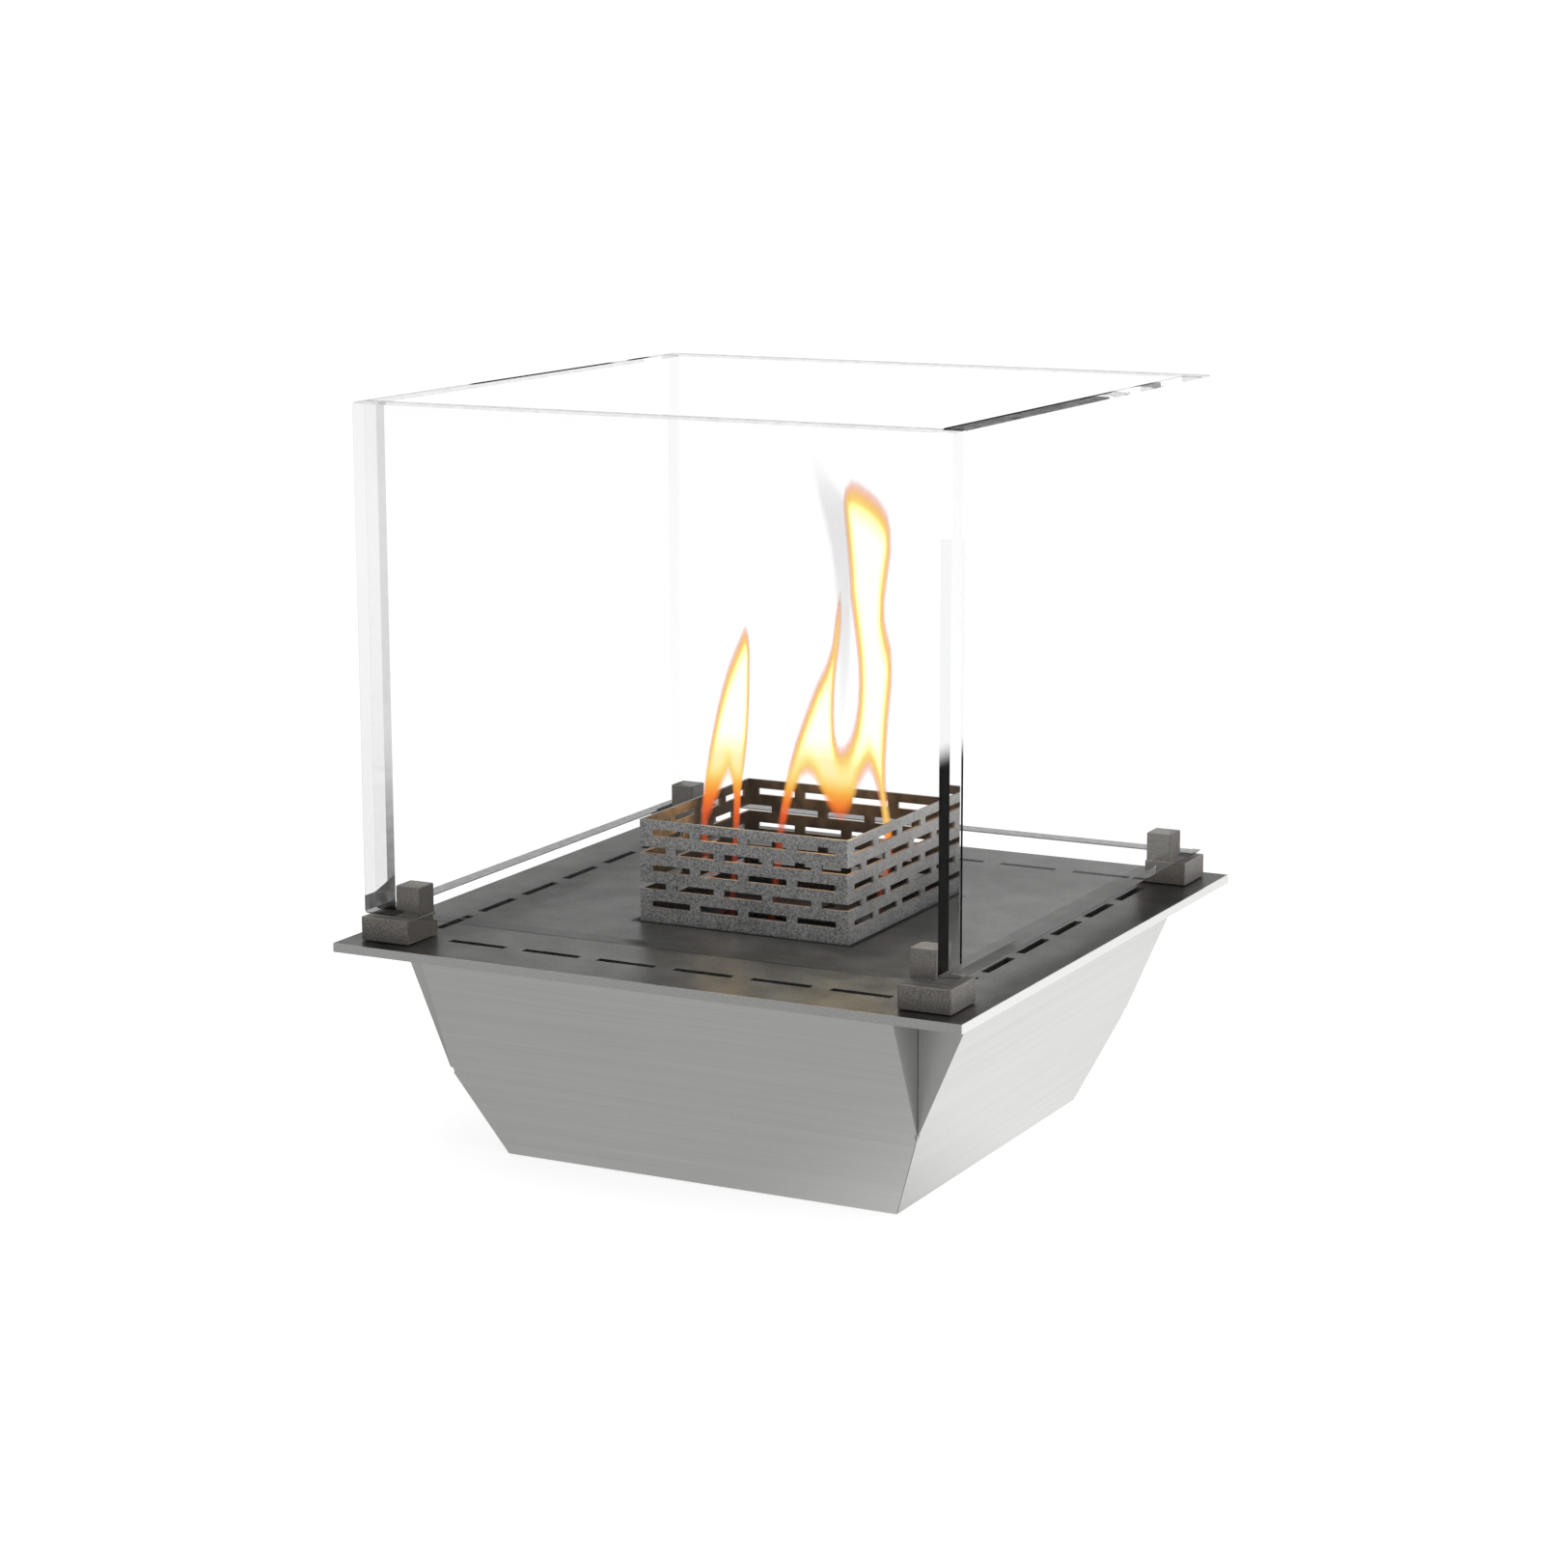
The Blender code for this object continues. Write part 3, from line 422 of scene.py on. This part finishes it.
def wool():
    """Ceramic fibre blanket: tangled pale strands with scorched patches."""
    look = Look("ceramic_fibre_wool")
    strands = look.noise(700, 5, 0.7, 2.5)
    tufts = look.noise(120, 4, 0.65, 0.8, shift=3.0)
    scorch = look.noise(45, 3, 0.6, shift=8.0)
    colour = look.mixed(look.spread(strands), tint(206, 201, 190), tint(240, 237, 228))
    colour = look.mixed(look.ranged(scorch, 0.45, 0.8, 0.0, 0.6), colour, tint(168, 150, 126))
    height = look.weighed((strands, 0.4), (tufts, 0.6))
    shader = look.principled(
        Base_Color=colour, Roughness=look.spread(strands, 0.85, 1.0), Sheen_Weight=0.3,
        Normal=look.bump(height, 0.8 * MM),
    )
    return look.finish(shader)


def clear_rubber():
    """Clear, slightly hazy silicone of the pads and the rim seal."""
    look = Look("clear_silicone")
    dust = look.noise(900, 2, 0.6)
    haze = look.noise(90, 2, 0.5, shift=2.0)
    colour = look.mixed(look.spread(haze), tint(168, 168, 166), tint(186, 186, 184))
    body = look.principled(
        Base_Color=colour, Roughness=look.spread(dust, 0.34, 0.5), Normal=look.bump(dust, 0.02 * MM)
    )
    body_share = 0.06
    return look.finish(look.blended(body_share, look.clear(tint(246, 246, 245)), body))


def clear_glass(name, thickness_axis, end_levels, dark_stretches, dark_share):
    """Clear float glass with polished edges, their tones painted reflections.

    The end levels are the painted tones of the upright edges at the near left corner, on their outer and
    their inner part. The dark stretches are painted dark reflections on a side pane's top edge, on this
    share of its width.
    """
    look = Look(name)
    smear = look.noise((18, 18, 60), 3, 0.6, 0.6)
    fine = look.noise(260, 2, 0.6, shift=3.0)
    facing = look.facing()
    x, y, z = look.axes()
    broad = look.above(look.size(facing[thickness_axis]), FACING_BROAD)
    level_face = look.above(look.size(facing["Z"]), FACING_PLAIN)
    top = look.times(look.above(z, GLASS_HIGH), level_face)
    bottom = look.times(look.below(z, GLASS_LOW), level_face)
    rays = look.add("ShaderNodeLightPath").outputs
    unseen = look.path("Is Shadow Ray", "Is Diffuse Ray")

    # Broad faces. A ray that stays caught inside a pane gets a set tone, a painted reflection, and some
    # rays pass straight.
    caught = look.above(rays["Glossy Depth"], CAUGHT_DEPTH)
    layers = look.above(rays["Transparent Depth"], LAYERS_DEPTH)
    straight = look.either(look.either(unseen, caught), layers)
    # Painted reflection for caught rays, with a painted dark strip low at the near corner
    caught_painted_tone = look.mixed(look.ranged(x, *STRIP_SIDES), grey(226), grey(253))
    caught_painted_tone = look.mixed(look.ranged(z, *STRIP_TOP), grey(8), caught_painted_tone)
    tone = look.mixed(caught, look.mixed(unseen, GLASS_TINT_STRAIGHT, WHITE), caught_painted_tone)
    colour = look.mixed(look.ranged(smear, 0.45, 0.8), *GLASS_TINTS)
    glass = look.principled(Base_Color=colour, Roughness=0.0, IOR=GLASS_INDEX, Transmission_Weight=1.0)
    face = look.blended(straight, glass, look.clear(tone))

    # Upright edges: those at the near left corner have painted tones of their own, painted reflections with
    # a painted dark foot
    outer_level, inner_level = end_levels
    near_left = look.times(look.below(x, -CORNER), look.below(y, -CORNER))
    inner_part = look.below(look.size(x), CORNER_SPLIT)
    foot, low, middle, high = CORNER_HEIGHTS
    outer_end = look.mixed(look.ranged(z, foot, high), grey(outer_level - 14), grey(outer_level))
    inner_end = look.mixed(look.ranged(z, middle, high), grey(inner_level - 8), grey(inner_level))
    inner_end = look.mixed(look.ranged(z, low, middle), grey(inner_level - 90), inner_end)
    left_end = look.mixed(inner_part, outer_end, inner_end)
    foot_height, foot_side, foot_slope = CORNER_FOOT
    foot_top = look.maths("ADD", foot_height, look.times(look.maths("ADD", x, foot_side), foot_slope))
    left_end = look.mixed(look.below(z, foot_top), left_end, grey(72))
    edge_tone = look.mixed(near_left, grey(252), left_end)
    edge_tone = look.mixed(look.spread(fine, 0.0, 0.08), edge_tone, grey(250))

    # Bottom edges, painted darker at the back and on the left, then the painted dark of low edges seen
    # through a pane
    far = look.either(look.above(y, FAR_EDGE), look.below(x, -FAR_EDGE))
    bottom_tone = look.mixed(far, grey(236), look.mixed(look.spread(fine), grey(146), grey(162)))
    edge_tone = look.mixed(bottom, edge_tone, bottom_tone)
    low_behind = look.times(look.above(rays["Glossy Depth"], BEHIND_DEPTH), look.below(z, BEHIND_TOP))
    edge_tone = look.mixed(low_behind, edge_tone, grey(8))

    # Top edges, painted pale with painted dark reflections in stretches
    edge_tone = look.mixed(top, edge_tone, look.mixed(look.spread(fine), grey(228), grey(240)))
    shade = 0.0
    for start, end, strength in dark_stretches:
        opened = look.ranged(y, (start - STRETCH_BLUR) * MM, (start + STRETCH_BLUR) * MM)
        closed = look.ranged(y, (end + STRETCH_BLUR) * MM, (end - STRETCH_BLUR) * MM)
        shade = look.either(shade, look.times(look.times(opened, closed), strength))
    if dark_stretches:
        outer = look.above(look.size(x), (GLASS_HALF - GLASS_THICKNESS * dark_share) * MM)
        shade = look.times(look.times(shade, outer), top)
        edge_tone = look.mixed(shade, edge_tone, look.mixed(look.spread(fine), grey(58), grey(84)))

    edge_tone = look.mixed(unseen, edge_tone, WHITE)
    sheen = look.add("ShaderNodeBsdfGlossy", {"Color": WHITE, "Roughness": 0.12}).outputs[0]
    edge = look.blended(look.times(look.opposite(unseen), EDGE_SHEEN), look.clear(edge_tone), sheen)
    return look.finish(look.blended(broad, edge, face))


def dress(frame_nodes):
    """Give every CAD node the material of the first row whose text its name starts with."""
    along_x = brushed_steel("brushed_steel_across", True)
    along_y = brushed_steel("brushed_steel_deep", False)
    plate = satin_plate()
    bracket = dark_coat()
    surround = surround_sheet()
    burner = burnt_steel()
    fastener = zinc()
    fibre = wool()
    rubber = clear_rubber()
    glass = clear_glass("clear_glass_across", "Y", (240, 252), (), 1.0)
    glass_right = clear_glass("clear_glass_right", "X", (252, 252), RIGHT_STRETCHES, 1.0)
    glass_left = clear_glass("clear_glass_left", "X", (238, 214), LEFT_STRETCHES, 0.45)
    starts = (
        ("top_plate", plate), ("casing_panel_front", along_x), ("casing_panel_back", along_x),
        ("casing_panel", along_y), ("casing_floor", along_x), ("corner_bracket", bracket),
        ("burner_surround", surround), ("bracket_screw", fastener), ("casing_nut", fastener),
        ("cradle_nut", fastener), ("glass_pad", rubber), ("rim_seal", rubber),
        ("glass_pane_right", glass_right), ("glass_pane_left", glass_left), ("glass_pane", glass),
        ("ceramic_wadding", fibre), ("", burner),
    )
    for name, piece in frame_nodes.items():
        chosen = next(material for start, material in starts if name.startswith(start))
        piece.data.materials.clear()
        piece.data.materials.append(chosen)


def make_mesh(name, points, faces, material, smooth=False):
    """Mesh object with one material."""
    data = bpy.data.meshes.new(name)
    data.from_pydata(points, [], faces)
    data.materials.append(material)
    if smooth:
        data.shade_smooth()
    piece = bpy.data.objects.new(name, data)
    bpy.context.collection.objects.link(piece)
    return piece


# Flames. Outlines are in mm: x as seen across the sheet of flame, then height above the top plate.
LEFT_FLAME = (
    (-36.5, -6.2), (-41.5, 8), (-46, 22), (-47, 31), (-46.2, 42), (-43.8, 59), (-41.2, 73), (-38.2, 86.5),
    (-35.2, 98), (-31.7, 109), (-28, 117.5), (-24.8, 124.5), (-23.3, 127), (-22, 124), (-21.3, 117),
    (-21.4, 109.5), (-21.6, 98), (-22, 87.5), (-22.8, 76), (-24.1, 65.5), (-26, 52), (-26.6, 38.5),
    (-27.2, 26), (-28.5, 10), (-30, -6.2), (-32.5, -6.2), (-31.5, 10), (-30.6, 26), (-30.1, 38),
    (-29.6, 48), (-30.2, 56), (-32, 61), (-34.6, 57), (-37.5, 50), (-41, 42), (-43, 37), (-42.6, 24),
    (-38.5, 8), (-34, -6.2),
)
MAIN_FLAME = (
    (-12, -6.2), (-10.5, 10), (-9, 22), (-8.5, 29.5), (-7.2, 39), (-5, 49.5), (-2.1, 63), (1.8, 76.5),
    (7.6, 92), (12.4, 103.5), (17.2, 112.5), (20.1, 121.5), (21.9, 134.5), (23.2, 141), (23.9, 144),
    (24.3, 138), (24.2, 131), (23.2, 121), (21.6, 110), (20.8, 100), (20.6, 91), (21, 82), (22.3, 76.5),
    (24.3, 74.5), (27, 76.2), (29.6, 81), (31.6, 87.5), (32.8, 95), (33.4, 104), (33.2, 113), (32.2, 122),
    (30.8, 132), (29.2, 143), (28.6, 154), (27.6, 165), (26.4, 176), (25.6, 184), (26.4, 190),
    (29.2, 193.2), (33.5, 192), (38.5, 189), (43, 185.2), (46.6, 180), (48.2, 173.5), (48.4, 164),
    (46.9, 153), (45.5, 143), (45.3, 134.5), (46.6, 128.3), (48.7, 121), (49.2, 112), (48.9, 104.5),
    (47.9, 95), (47.1, 87), (46.2, 71.5), (46.3, 60.5), (47.7, 50), (49.2, 41.5), (49.8, 34), (48.5, 20),
    (44.5, 5), (41, -6.2), (38.5, -6.2), (41.6, 5), (45, 20), (46, 34), (45.6, 42), (44.4, 50),
    (42.5, 58.5), (40.2, 65), (38, 68), (35.6, 65), (32.8, 59.5), (30.4, 53), (28.2, 47.5), (25.6, 44.6),
    (22.8, 44.2), (19.8, 47), (16.4, 52.5), (13.2, 58.5), (10.6, 62.3), (7.8, 63.8), (4.6, 62), (1.4, 56),
    (-1.4, 47), (-3.6, 37), (-4.8, 29), (-5.6, 20), (-7.4, 8), (-9.2, -6.2),
)
SMOKE = (
    (22.8, 84), (22.6, 100), (22.4, 118), (21.9, 137), (20.9, 150), (19, 163), (15.8, 176), (12.4, 188),
    (10.2, 199), (9.2, 208), (11.8, 209), (15, 203), (19, 196.5), (24, 191), (29, 186), (30, 170),
    (30, 150), (30, 130), (29.5, 112), (28, 97), (26, 86),
)
# Each outline with its upright stretch, and how sharply its colours change on the left and the right
FLAMES = ((LEFT_FLAME, 6.5, 1.9, 1.9), (MAIN_FLAME, 4.2, 1.4, 1.0))
WISP = ((SMOKE, 2.0, 1.0, 1.0),)
SHARPNESS_PLACES = (18, 28)  # mm across, between which the left sharpness gives way to the right one
SHEET_BEND = ((-50, -20, 0, 45), (-6, -6, -4, 2))  # across the sheet, and its middle's distance from y = 0
RIPPLE = (1.6, 24, 30, 60)  # mm: its size, one radian upward and across, and the height where it is full
SIGHT_SWELL = 0.8  # mm by which the outlines are widened
SIGHT_SLOPE = 0.516  # the outlines are drawn as seen from the photograph's side
SIGHT_PLANE = -4  # mm: the y for which the outlines' x is the real x
LIFTED = (13, 28, 14)  # mm: right of 28 the root's colours sink, by up to 13 over a width of 14
GRID_STEPS = (0.8, 0.9, 1.3)
GRID_LOW, GRID_HIGH = (-54.0, -18.0, -9.0), (54.0, 18.0, 212.0)
OUTLINE_COLUMNS = (-64, 64, 321)  # first and last place across, and how many
FAR = 1e9  # farther than any outline
TINY = 1e-9  # in place of a rise of zero

# Colours of the flame's root and how much it hides, by height over the plate in mm
ROOT_COLOURS = (
    (0, tint(150, 60, 35)), (34, tint(200, 84, 50)), (43, tint(238, 98, 46)), (50, tint(250, 132, 50)),
    (56, tint(255, 184, 78)), (62, tint(255, 222, 116)), (70, tint(253, 240, 160)),
)
ROOT_COVERS = ((0, 0.08), (20, 0.14), (34, 0.3), (42, 0.62), (50, 0.92), (58, 1.0))
ROOT_TOP = (55.0, 68.0)  # between these heights the root's colours give way to those by depth
HEIGHT_SPAN, DEPTH_SPAN, STRENGTH_SPAN = 80.0, 8.0, 10.0
FLICKER = 6.0  # mm
LAMP_COLOUR = (1, 0.5, 0.18, 1)
MIRRORED_COLOUR = (1, 0.72, 0.36, 1)
MIRRORED_GAIN = 8  # in metal the flames are stronger than they look, for the warm glow on the plate


def outline_depth(outline, across, height, stretch):
    """Distance inside a closed outline, negative outside, with height pressed together by stretch."""
    points = np.array(outline, float) / (1, stretch)
    height = height / stretch
    ends = np.roll(points, -1, axis=0)
    nearest = np.full(across.shape, FAR)
    inside = np.zeros(across.shape, bool)
    for (x0, z0), (x1, z1) in zip(points, ends):
        run, rise = x1 - x0, z1 - z0
        along = ((across - x0) * run + (height - z0) * rise) / (run ** 2 + rise ** 2)
        along = np.clip(along, 0, 1)
        nearest = np.minimum(nearest, np.hypot(across - x0 - along * run, height - z0 - along * rise))
        crosses = (z0 > height) != (z1 > height)
        where = x0 + (height - z0) * run / (rise or TINY)
        inside ^= crosses & (across < where)
    return np.where(inside, nearest, -nearest)


def skin(field, low, steps):
    """Closed quad mesh round the places where a field on a grid is above zero."""
    inside = field > 0
    cells = tuple(size - 1 for size in field.shape)
    corners = [(i, j, k) for i in (0, 1) for j in (0, 1) for k in (0, 1)]

    def at(grid, corner):
        """The grid's values at this corner of every cell."""
        return grid[tuple(slice(c, c + n) for c, n in zip(corner, cells))]

    # One point in each cell that the surface crosses, in the middle of the crossings on the cell's edges
    total = sum(at(inside, corner).astype(int) for corner in corners)
    active = (total > 0) & (total < len(corners))
    number = np.full(cells, -1)
    number[active] = np.arange(active.sum())
    places = np.zeros((active.sum(), 3))
    counts = np.zeros(active.sum())
    for first in corners:
        for axis in range(3):
            if first[axis]:
                continue
            second = tuple(1 if n == axis else c for n, c in enumerate(first))
            a, b = at(field, first)[active], at(field, second)[active]
            cut = (a > 0) != (b > 0)
            share = np.where(cut, a / np.where(cut, a - b, 1), 0)
            places[cut] += np.array(first, float)
            places[cut, axis] += share[cut]
            counts += cut
    places = (places / counts[:, None] + np.argwhere(active)) * steps + low

    # One quad round each grid edge whose ends lie on different sides
    faces = []
    for axis in range(3):
        others = [n for n in range(3) if n != axis]
        start = tuple(slice(0, -1) if n == axis else slice(1, -1) for n in range(3))
        end = tuple(slice(1, None) if n == axis else slice(1, -1) for n in range(3))
        changed = np.argwhere(inside[start] != inside[end])
        outward = inside[start][tuple(changed.T)]
        base = changed + [0 if n == axis else 1 for n in range(3)]
        ring = []
        for offset in ((0, 0), (1, 0), (1, 1), (0, 1)):
            cell = base.copy()
            cell[:, others[0]] -= offset[0]
            cell[:, others[1]] -= offset[1]
            ring.append(number[tuple(cell.T)])
        quads = np.stack(ring, 1)
        turn = outward if axis != 1 else ~outward
        quads[~turn] = quads[~turn][:, ::-1]
        faces += quads.tolist()
    return places, faces


def between(position, size):
    """Whole and part of positions on a grid line of this many points, held at its ends."""
    position = np.clip(position, 0, size - 1.001)
    return position.astype(int), position % 1


def flame_shell(name, flames, material, start, half_depth, rounding):
    """One nested shell of the sheet of flame, from this distance inside the outlines on, all in mm."""
    steps, low, high = np.array(GRID_STEPS), np.array(GRID_LOW), np.array(GRID_HIGH)
    x, y, z = (np.arange(a, b, s) for a, b, s in zip(low, high, steps))
    across = np.linspace(*OUTLINE_COLUMNS)
    flat_x, flat_z = np.meshgrid(across, z, indexing="ij")
    depth = SIGHT_SWELL + np.maximum.reduce([
        outline_depth(outline, flat_x, flat_z, stretch) * np.interp(flat_x, SHARPNESS_PLACES, (left, right))
        for outline, stretch, left, right in flames
    ])
    ripple, upward, sideways, full = RIPPLE
    wave = ripple * np.sin(flat_z / upward + flat_x / sideways) * np.clip(flat_z / full, 0, 1)
    sheet = np.interp(flat_x, *SHEET_BEND) + wave
    side = 1 - np.clip((depth - start) / rounding, None, 1)
    side = side * np.abs(side)

    def drawn(grid, seen_at):
        """Values of a grid of outline columns at these places across the outlines, for every height."""
        whole, share = between((seen_at - across[0]) / (across[1] - across[0]), len(across))
        share = share[..., None]
        return grid[whole] * (1 - share) + grid[whole + 1] * share

    seen = x[:, None] + (y[None, :] - SIGHT_PLANE) * SIGHT_SLOPE
    field = 1 - ((y[None, :, None] - drawn(sheet, seen)) / half_depth) ** 2 - drawn(side, seen)
    places, faces = skin(field, low, steps)
    seen = places[:, 0] + (places[:, 1] - SIGHT_PLANE) * SIGHT_SLOPE
    columns = drawn(depth, seen)
    whole, share = between((places[:, 2] - low[2]) / steps[2], len(z))
    count = np.arange(len(whole))
    depths = columns[count, whole] * (1 - share) + columns[count, whole + 1] * share
    lift, lift_start, lift_width = LIFTED
    rises = places[:, 2] + lift * np.clip((seen - lift_start) / lift_width, 0, 1)
    places = places * MM + (0, 0, PLATE_TOP)
    places[:, 2] = np.maximum(places[:, 2], FLAME_FOOT)
    shell = make_mesh(name, places.tolist(), faces, material, smooth=True)
    for label, values in (("flame_depth", depths), ("flame_rise", rises)):
        stored = shell.data.attributes.new(label, "FLOAT", "POINT")
        stored.data.foreach_set("value", values.astype(np.float32))
    shell.visible_shadow = False
    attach(shell, "burner")
    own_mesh(shell)


def plain_stops(stops, scale=1.0):
    """Stops of a ramp from plain numbers, as grey colours."""
    return [(place, (value / scale,) * 3 + (1,)) for place, value in stops]


def flame_look(name, colours, strengths, cover, glow):
    """Glowing gas.

    Its colours go by depth inside the outline and its strengths by height over the plate, both in mm. The
    cover is the depths at which it hides nothing and most, and how much that is. The glow is the strength
    of its light on other pieces.
    """
    look = Look(name)
    depth = look.stored("flame_depth")
    rise = look.swayed(look.stored("flame_rise"), look.noise((120, 120, 60), 3, 0.55, 0.3), FLICKER)
    by_height = look.maths("DIVIDE", rise, HEIGHT_SPAN)
    root = look.ramp(by_height, ROOT_COLOURS, HEIGHT_SPAN)
    upper = look.ramp(look.maths("DIVIDE", depth, DEPTH_SPAN), colours, DEPTH_SPAN)
    colour = look.mixed(look.ranged(rise, *ROOT_TOP), root, upper)
    strength = look.ramp(by_height, plain_stops(strengths, STRENGTH_SPAN), HEIGHT_SPAN)
    start, full, most = cover
    root_cover = look.ramp(by_height, plain_stops(ROOT_COVERS), HEIGHT_SPAN)
    hidden = look.times(root_cover, look.ranged(depth, start, full, 0.0, most))
    diffuse = look.path("Is Diffuse Ray")
    seen = look.glowing(colour, look.times(strength, STRENGTH_SPAN))
    light = look.blended(diffuse, seen, look.glowing(LAMP_COLOUR, glow))
    if glow:
        warm = look.glowing(MIRRORED_COLOUR, MIRRORED_GAIN * glow)
        mirrored = look.times(look.path("Is Glossy Ray"), look.opposite(look.path("Is Transmission Ray")))
        light = look.blended(mirrored, light, warm)
    else:
        hidden = look.times(hidden, look.opposite(diffuse))
    return look.finish(look.blended(hidden, look.clear(), light))


def smoke_look():
    """Faint grey smoke that thins out towards its edges, its foot and its top, its grey a painted glow
    instead of being lit.
    """
    look = Look("smoke_haze")
    depth = look.stored("flame_depth")
    rise = look.stored("flame_rise")
    curls = look.noise((70, 70, 30), 4, 0.6, 0.8)
    foot, top, edge = (84, 150), (208, 178), (0.0, 3.4)
    body = look.times(look.ranged(rise, *foot, 0.3, 1.0), look.ranged(rise, *top))
    body = look.times(body, look.ranged(depth, *edge, 0.0, 0.34))
    hidden = look.times(body, look.ranged(curls, 0.25, 0.6, 0.75, 1.0))
    hidden = look.times(hidden, look.opposite(look.path("Is Diffuse Ray")))
    # Painted light: the smoke glows at a set grey instead of being lit
    seen = look.glowing(look.mixed(curls, grey(196), grey(212)), 1.0)
    return look.finish(look.blended(hidden, look.clear(), seen))


def build_flames():
    """Three nested shells of flame, the outermost the faintest, and a wisp of smoke."""
    even = ((0, 1.0),)
    rim_colours = (
        (0.0, tint(214, 150, 128)), (0.8, tint(240, 142, 100)), (2.0, tint(252, 184, 104)),
        (3.6, tint(255, 226, 140)),
    )
    mantle_colours = (
        (1.0, tint(250, 190, 104)), (1.8, tint(255, 222, 122)), (2.8, tint(255, 242, 140)),
        (5.0, tint(255, 248, 180)),
    )
    core_colours = ((2.4, tint(255, 240, 150)), (3.6, tint(255, 250, 200)), (4.8, tint(255, 255, 250)))
    core_strengths = ((58, 1.0), (70, 1.6), (80, 6.0))
    rim = flame_look("flame_rim", rim_colours, even, cover=(0.0, 1.2, 0.4), glow=0.0)
    mantle = flame_look("flame_mantle", mantle_colours, even, cover=(0.9, 2.2, 0.8), glow=0.0)
    core = flame_look("flame_core", core_colours, core_strengths, cover=(2.3, 3.8, 1.0), glow=4.5)
    flame_shell("flame_rim", FLAMES, rim, start=0.0, half_depth=4.8, rounding=3.2)
    flame_shell("flame_mantle", FLAMES, mantle, start=0.9, half_depth=3.8, rounding=2.8)
    flame_shell("flame_core", FLAMES, core, start=2.2, half_depth=2.8, rounding=2.4)
    flame_shell("smoke_wisp", WISP, smoke_look(), start=0.0, half_depth=3.0, rounding=3.4)


def build_floor():
    """White floor, which in metal shows painted shade to the front left and painted light to the back
    right.
    """
    look = Look("studio_floor")
    x, y, _ = look.axes()
    plain = look.matt(look.mixed(look.noise(6, 2, 0.5), grey(229), grey(231)))
    faint, lift = look.matt((0.3, 0.3, 0.3, 1)), look.glowing(WHITE, 0.77)
    white = look.add("ShaderNodeAddShader", {0: faint, 1: lift}).outputs[0]
    # Near the object the floor in metal shows painted shade to the front left and painted light to the back
    # right
    slant = look.ranged(look.maths("ADD", x, y), *FLOOR_GRADE)
    reach = look.maths("SQRT", look.weighed((x, x), (y, y)))
    graded = look.glowing(WHITE, look.scaled(reach, *FLOOR_RING, slant, 1.0))
    other = look.blended(look.path("Is Glossy Ray"), plain, graded)
    direct = look.path("Is Camera Ray", "Is Transmission Ray")
    material = look.finish(look.blended(direct, other, white))
    corners = ((-1, -1), (1, -1), (1, 1), (-1, 1))
    points = [(FLOOR_HALF * right, FLOOR_HALF * back, -FLOOR_DROP) for right, back in corners]
    make_mesh("floor", points, [(0, 1, 2, 3)], material)


def build_world():
    """White to the camera and through glass, and in metal a studio that is brighter to the back right."""
    world = bpy.data.worlds.new("studio")
    bpy.context.scene.world = world
    world.use_nodes = True
    nodes = Nodes(world.node_tree)
    rays = nodes.add("ShaderNodeLightPath").outputs
    place = nodes.add("ShaderNodeTexCoord").outputs["Generated"]
    direction = nodes.add("ShaderNodeSeparateXYZ", {0: place}).outputs
    graded = nodes.scaled(nodes.maths("ADD", direction["X"], direction["Y"]), *WORLD_GRADE)
    plain = nodes.scaled(rays["Is Glossy Ray"], 0.0, 1.0, WORLD_DIFFUSE, graded)
    direct = nodes.maths("MAXIMUM", rays["Is Camera Ray"], rays["Is Transmission Ray"])
    strength = nodes.scaled(direct, 0.0, 1.0, plain, 1.0)
    background = nodes.add("ShaderNodeBackground", {"Color": WHITE, "Strength": strength}).outputs[0]
    nodes.add("ShaderNodeOutputWorld", {"Surface": background})


def add_lamp(name, place, aim, size, power):
    """A soft square lamp turned towards a point, which shows only as light and in reflections."""
    data = bpy.data.lights.new(name, "AREA")
    data.shape = "SQUARE"
    data.size = size
    data.energy = power
    lamp = bpy.data.objects.new(name, data)
    bpy.context.collection.objects.link(lamp)
    away = Vector(place) - Vector(aim)
    lamp.matrix_world = Matrix.Translation(place) @ away.to_track_quat("Z", "Y").to_matrix().to_4x4()
    lamp.visible_camera = False
    lamp.visible_transmission = False


def build_camera():
    """The photograph's camera."""
    data = bpy.data.cameras.new("camera")
    data.lens = LENS
    data.sensor_width = SENSOR
    data.clip_end = 50
    camera = bpy.data.objects.new("camera", data)
    bpy.context.collection.objects.link(camera)
    pose = Matrix.Translation(CAMERA_PLACE)
    for degrees, axis in CAMERA_TURNS:
        pose = pose @ Matrix.Rotation(radians(degrees), 4, axis)
    camera.matrix_world = pose
    bpy.context.scene.camera = camera


dress(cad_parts)
build_flames()
build_floor()
build_world()
add_lamp("key_lamp", place=(2.0, -0.5, 1.1), aim=(0, 0, 0.15), size=1.2, power=22)
add_lamp("back_lamp", place=(1.0, 1.85, 0.35), aim=(0, 0, 0.1), size=1.3, power=10)
add_lamp("top_lamp", place=(-0.3, -0.4, 2.4), aim=(0, 0, 0.1), size=1.6, power=12)
build_camera()
bpy.context.scene.view_settings.view_transform = "Standard"
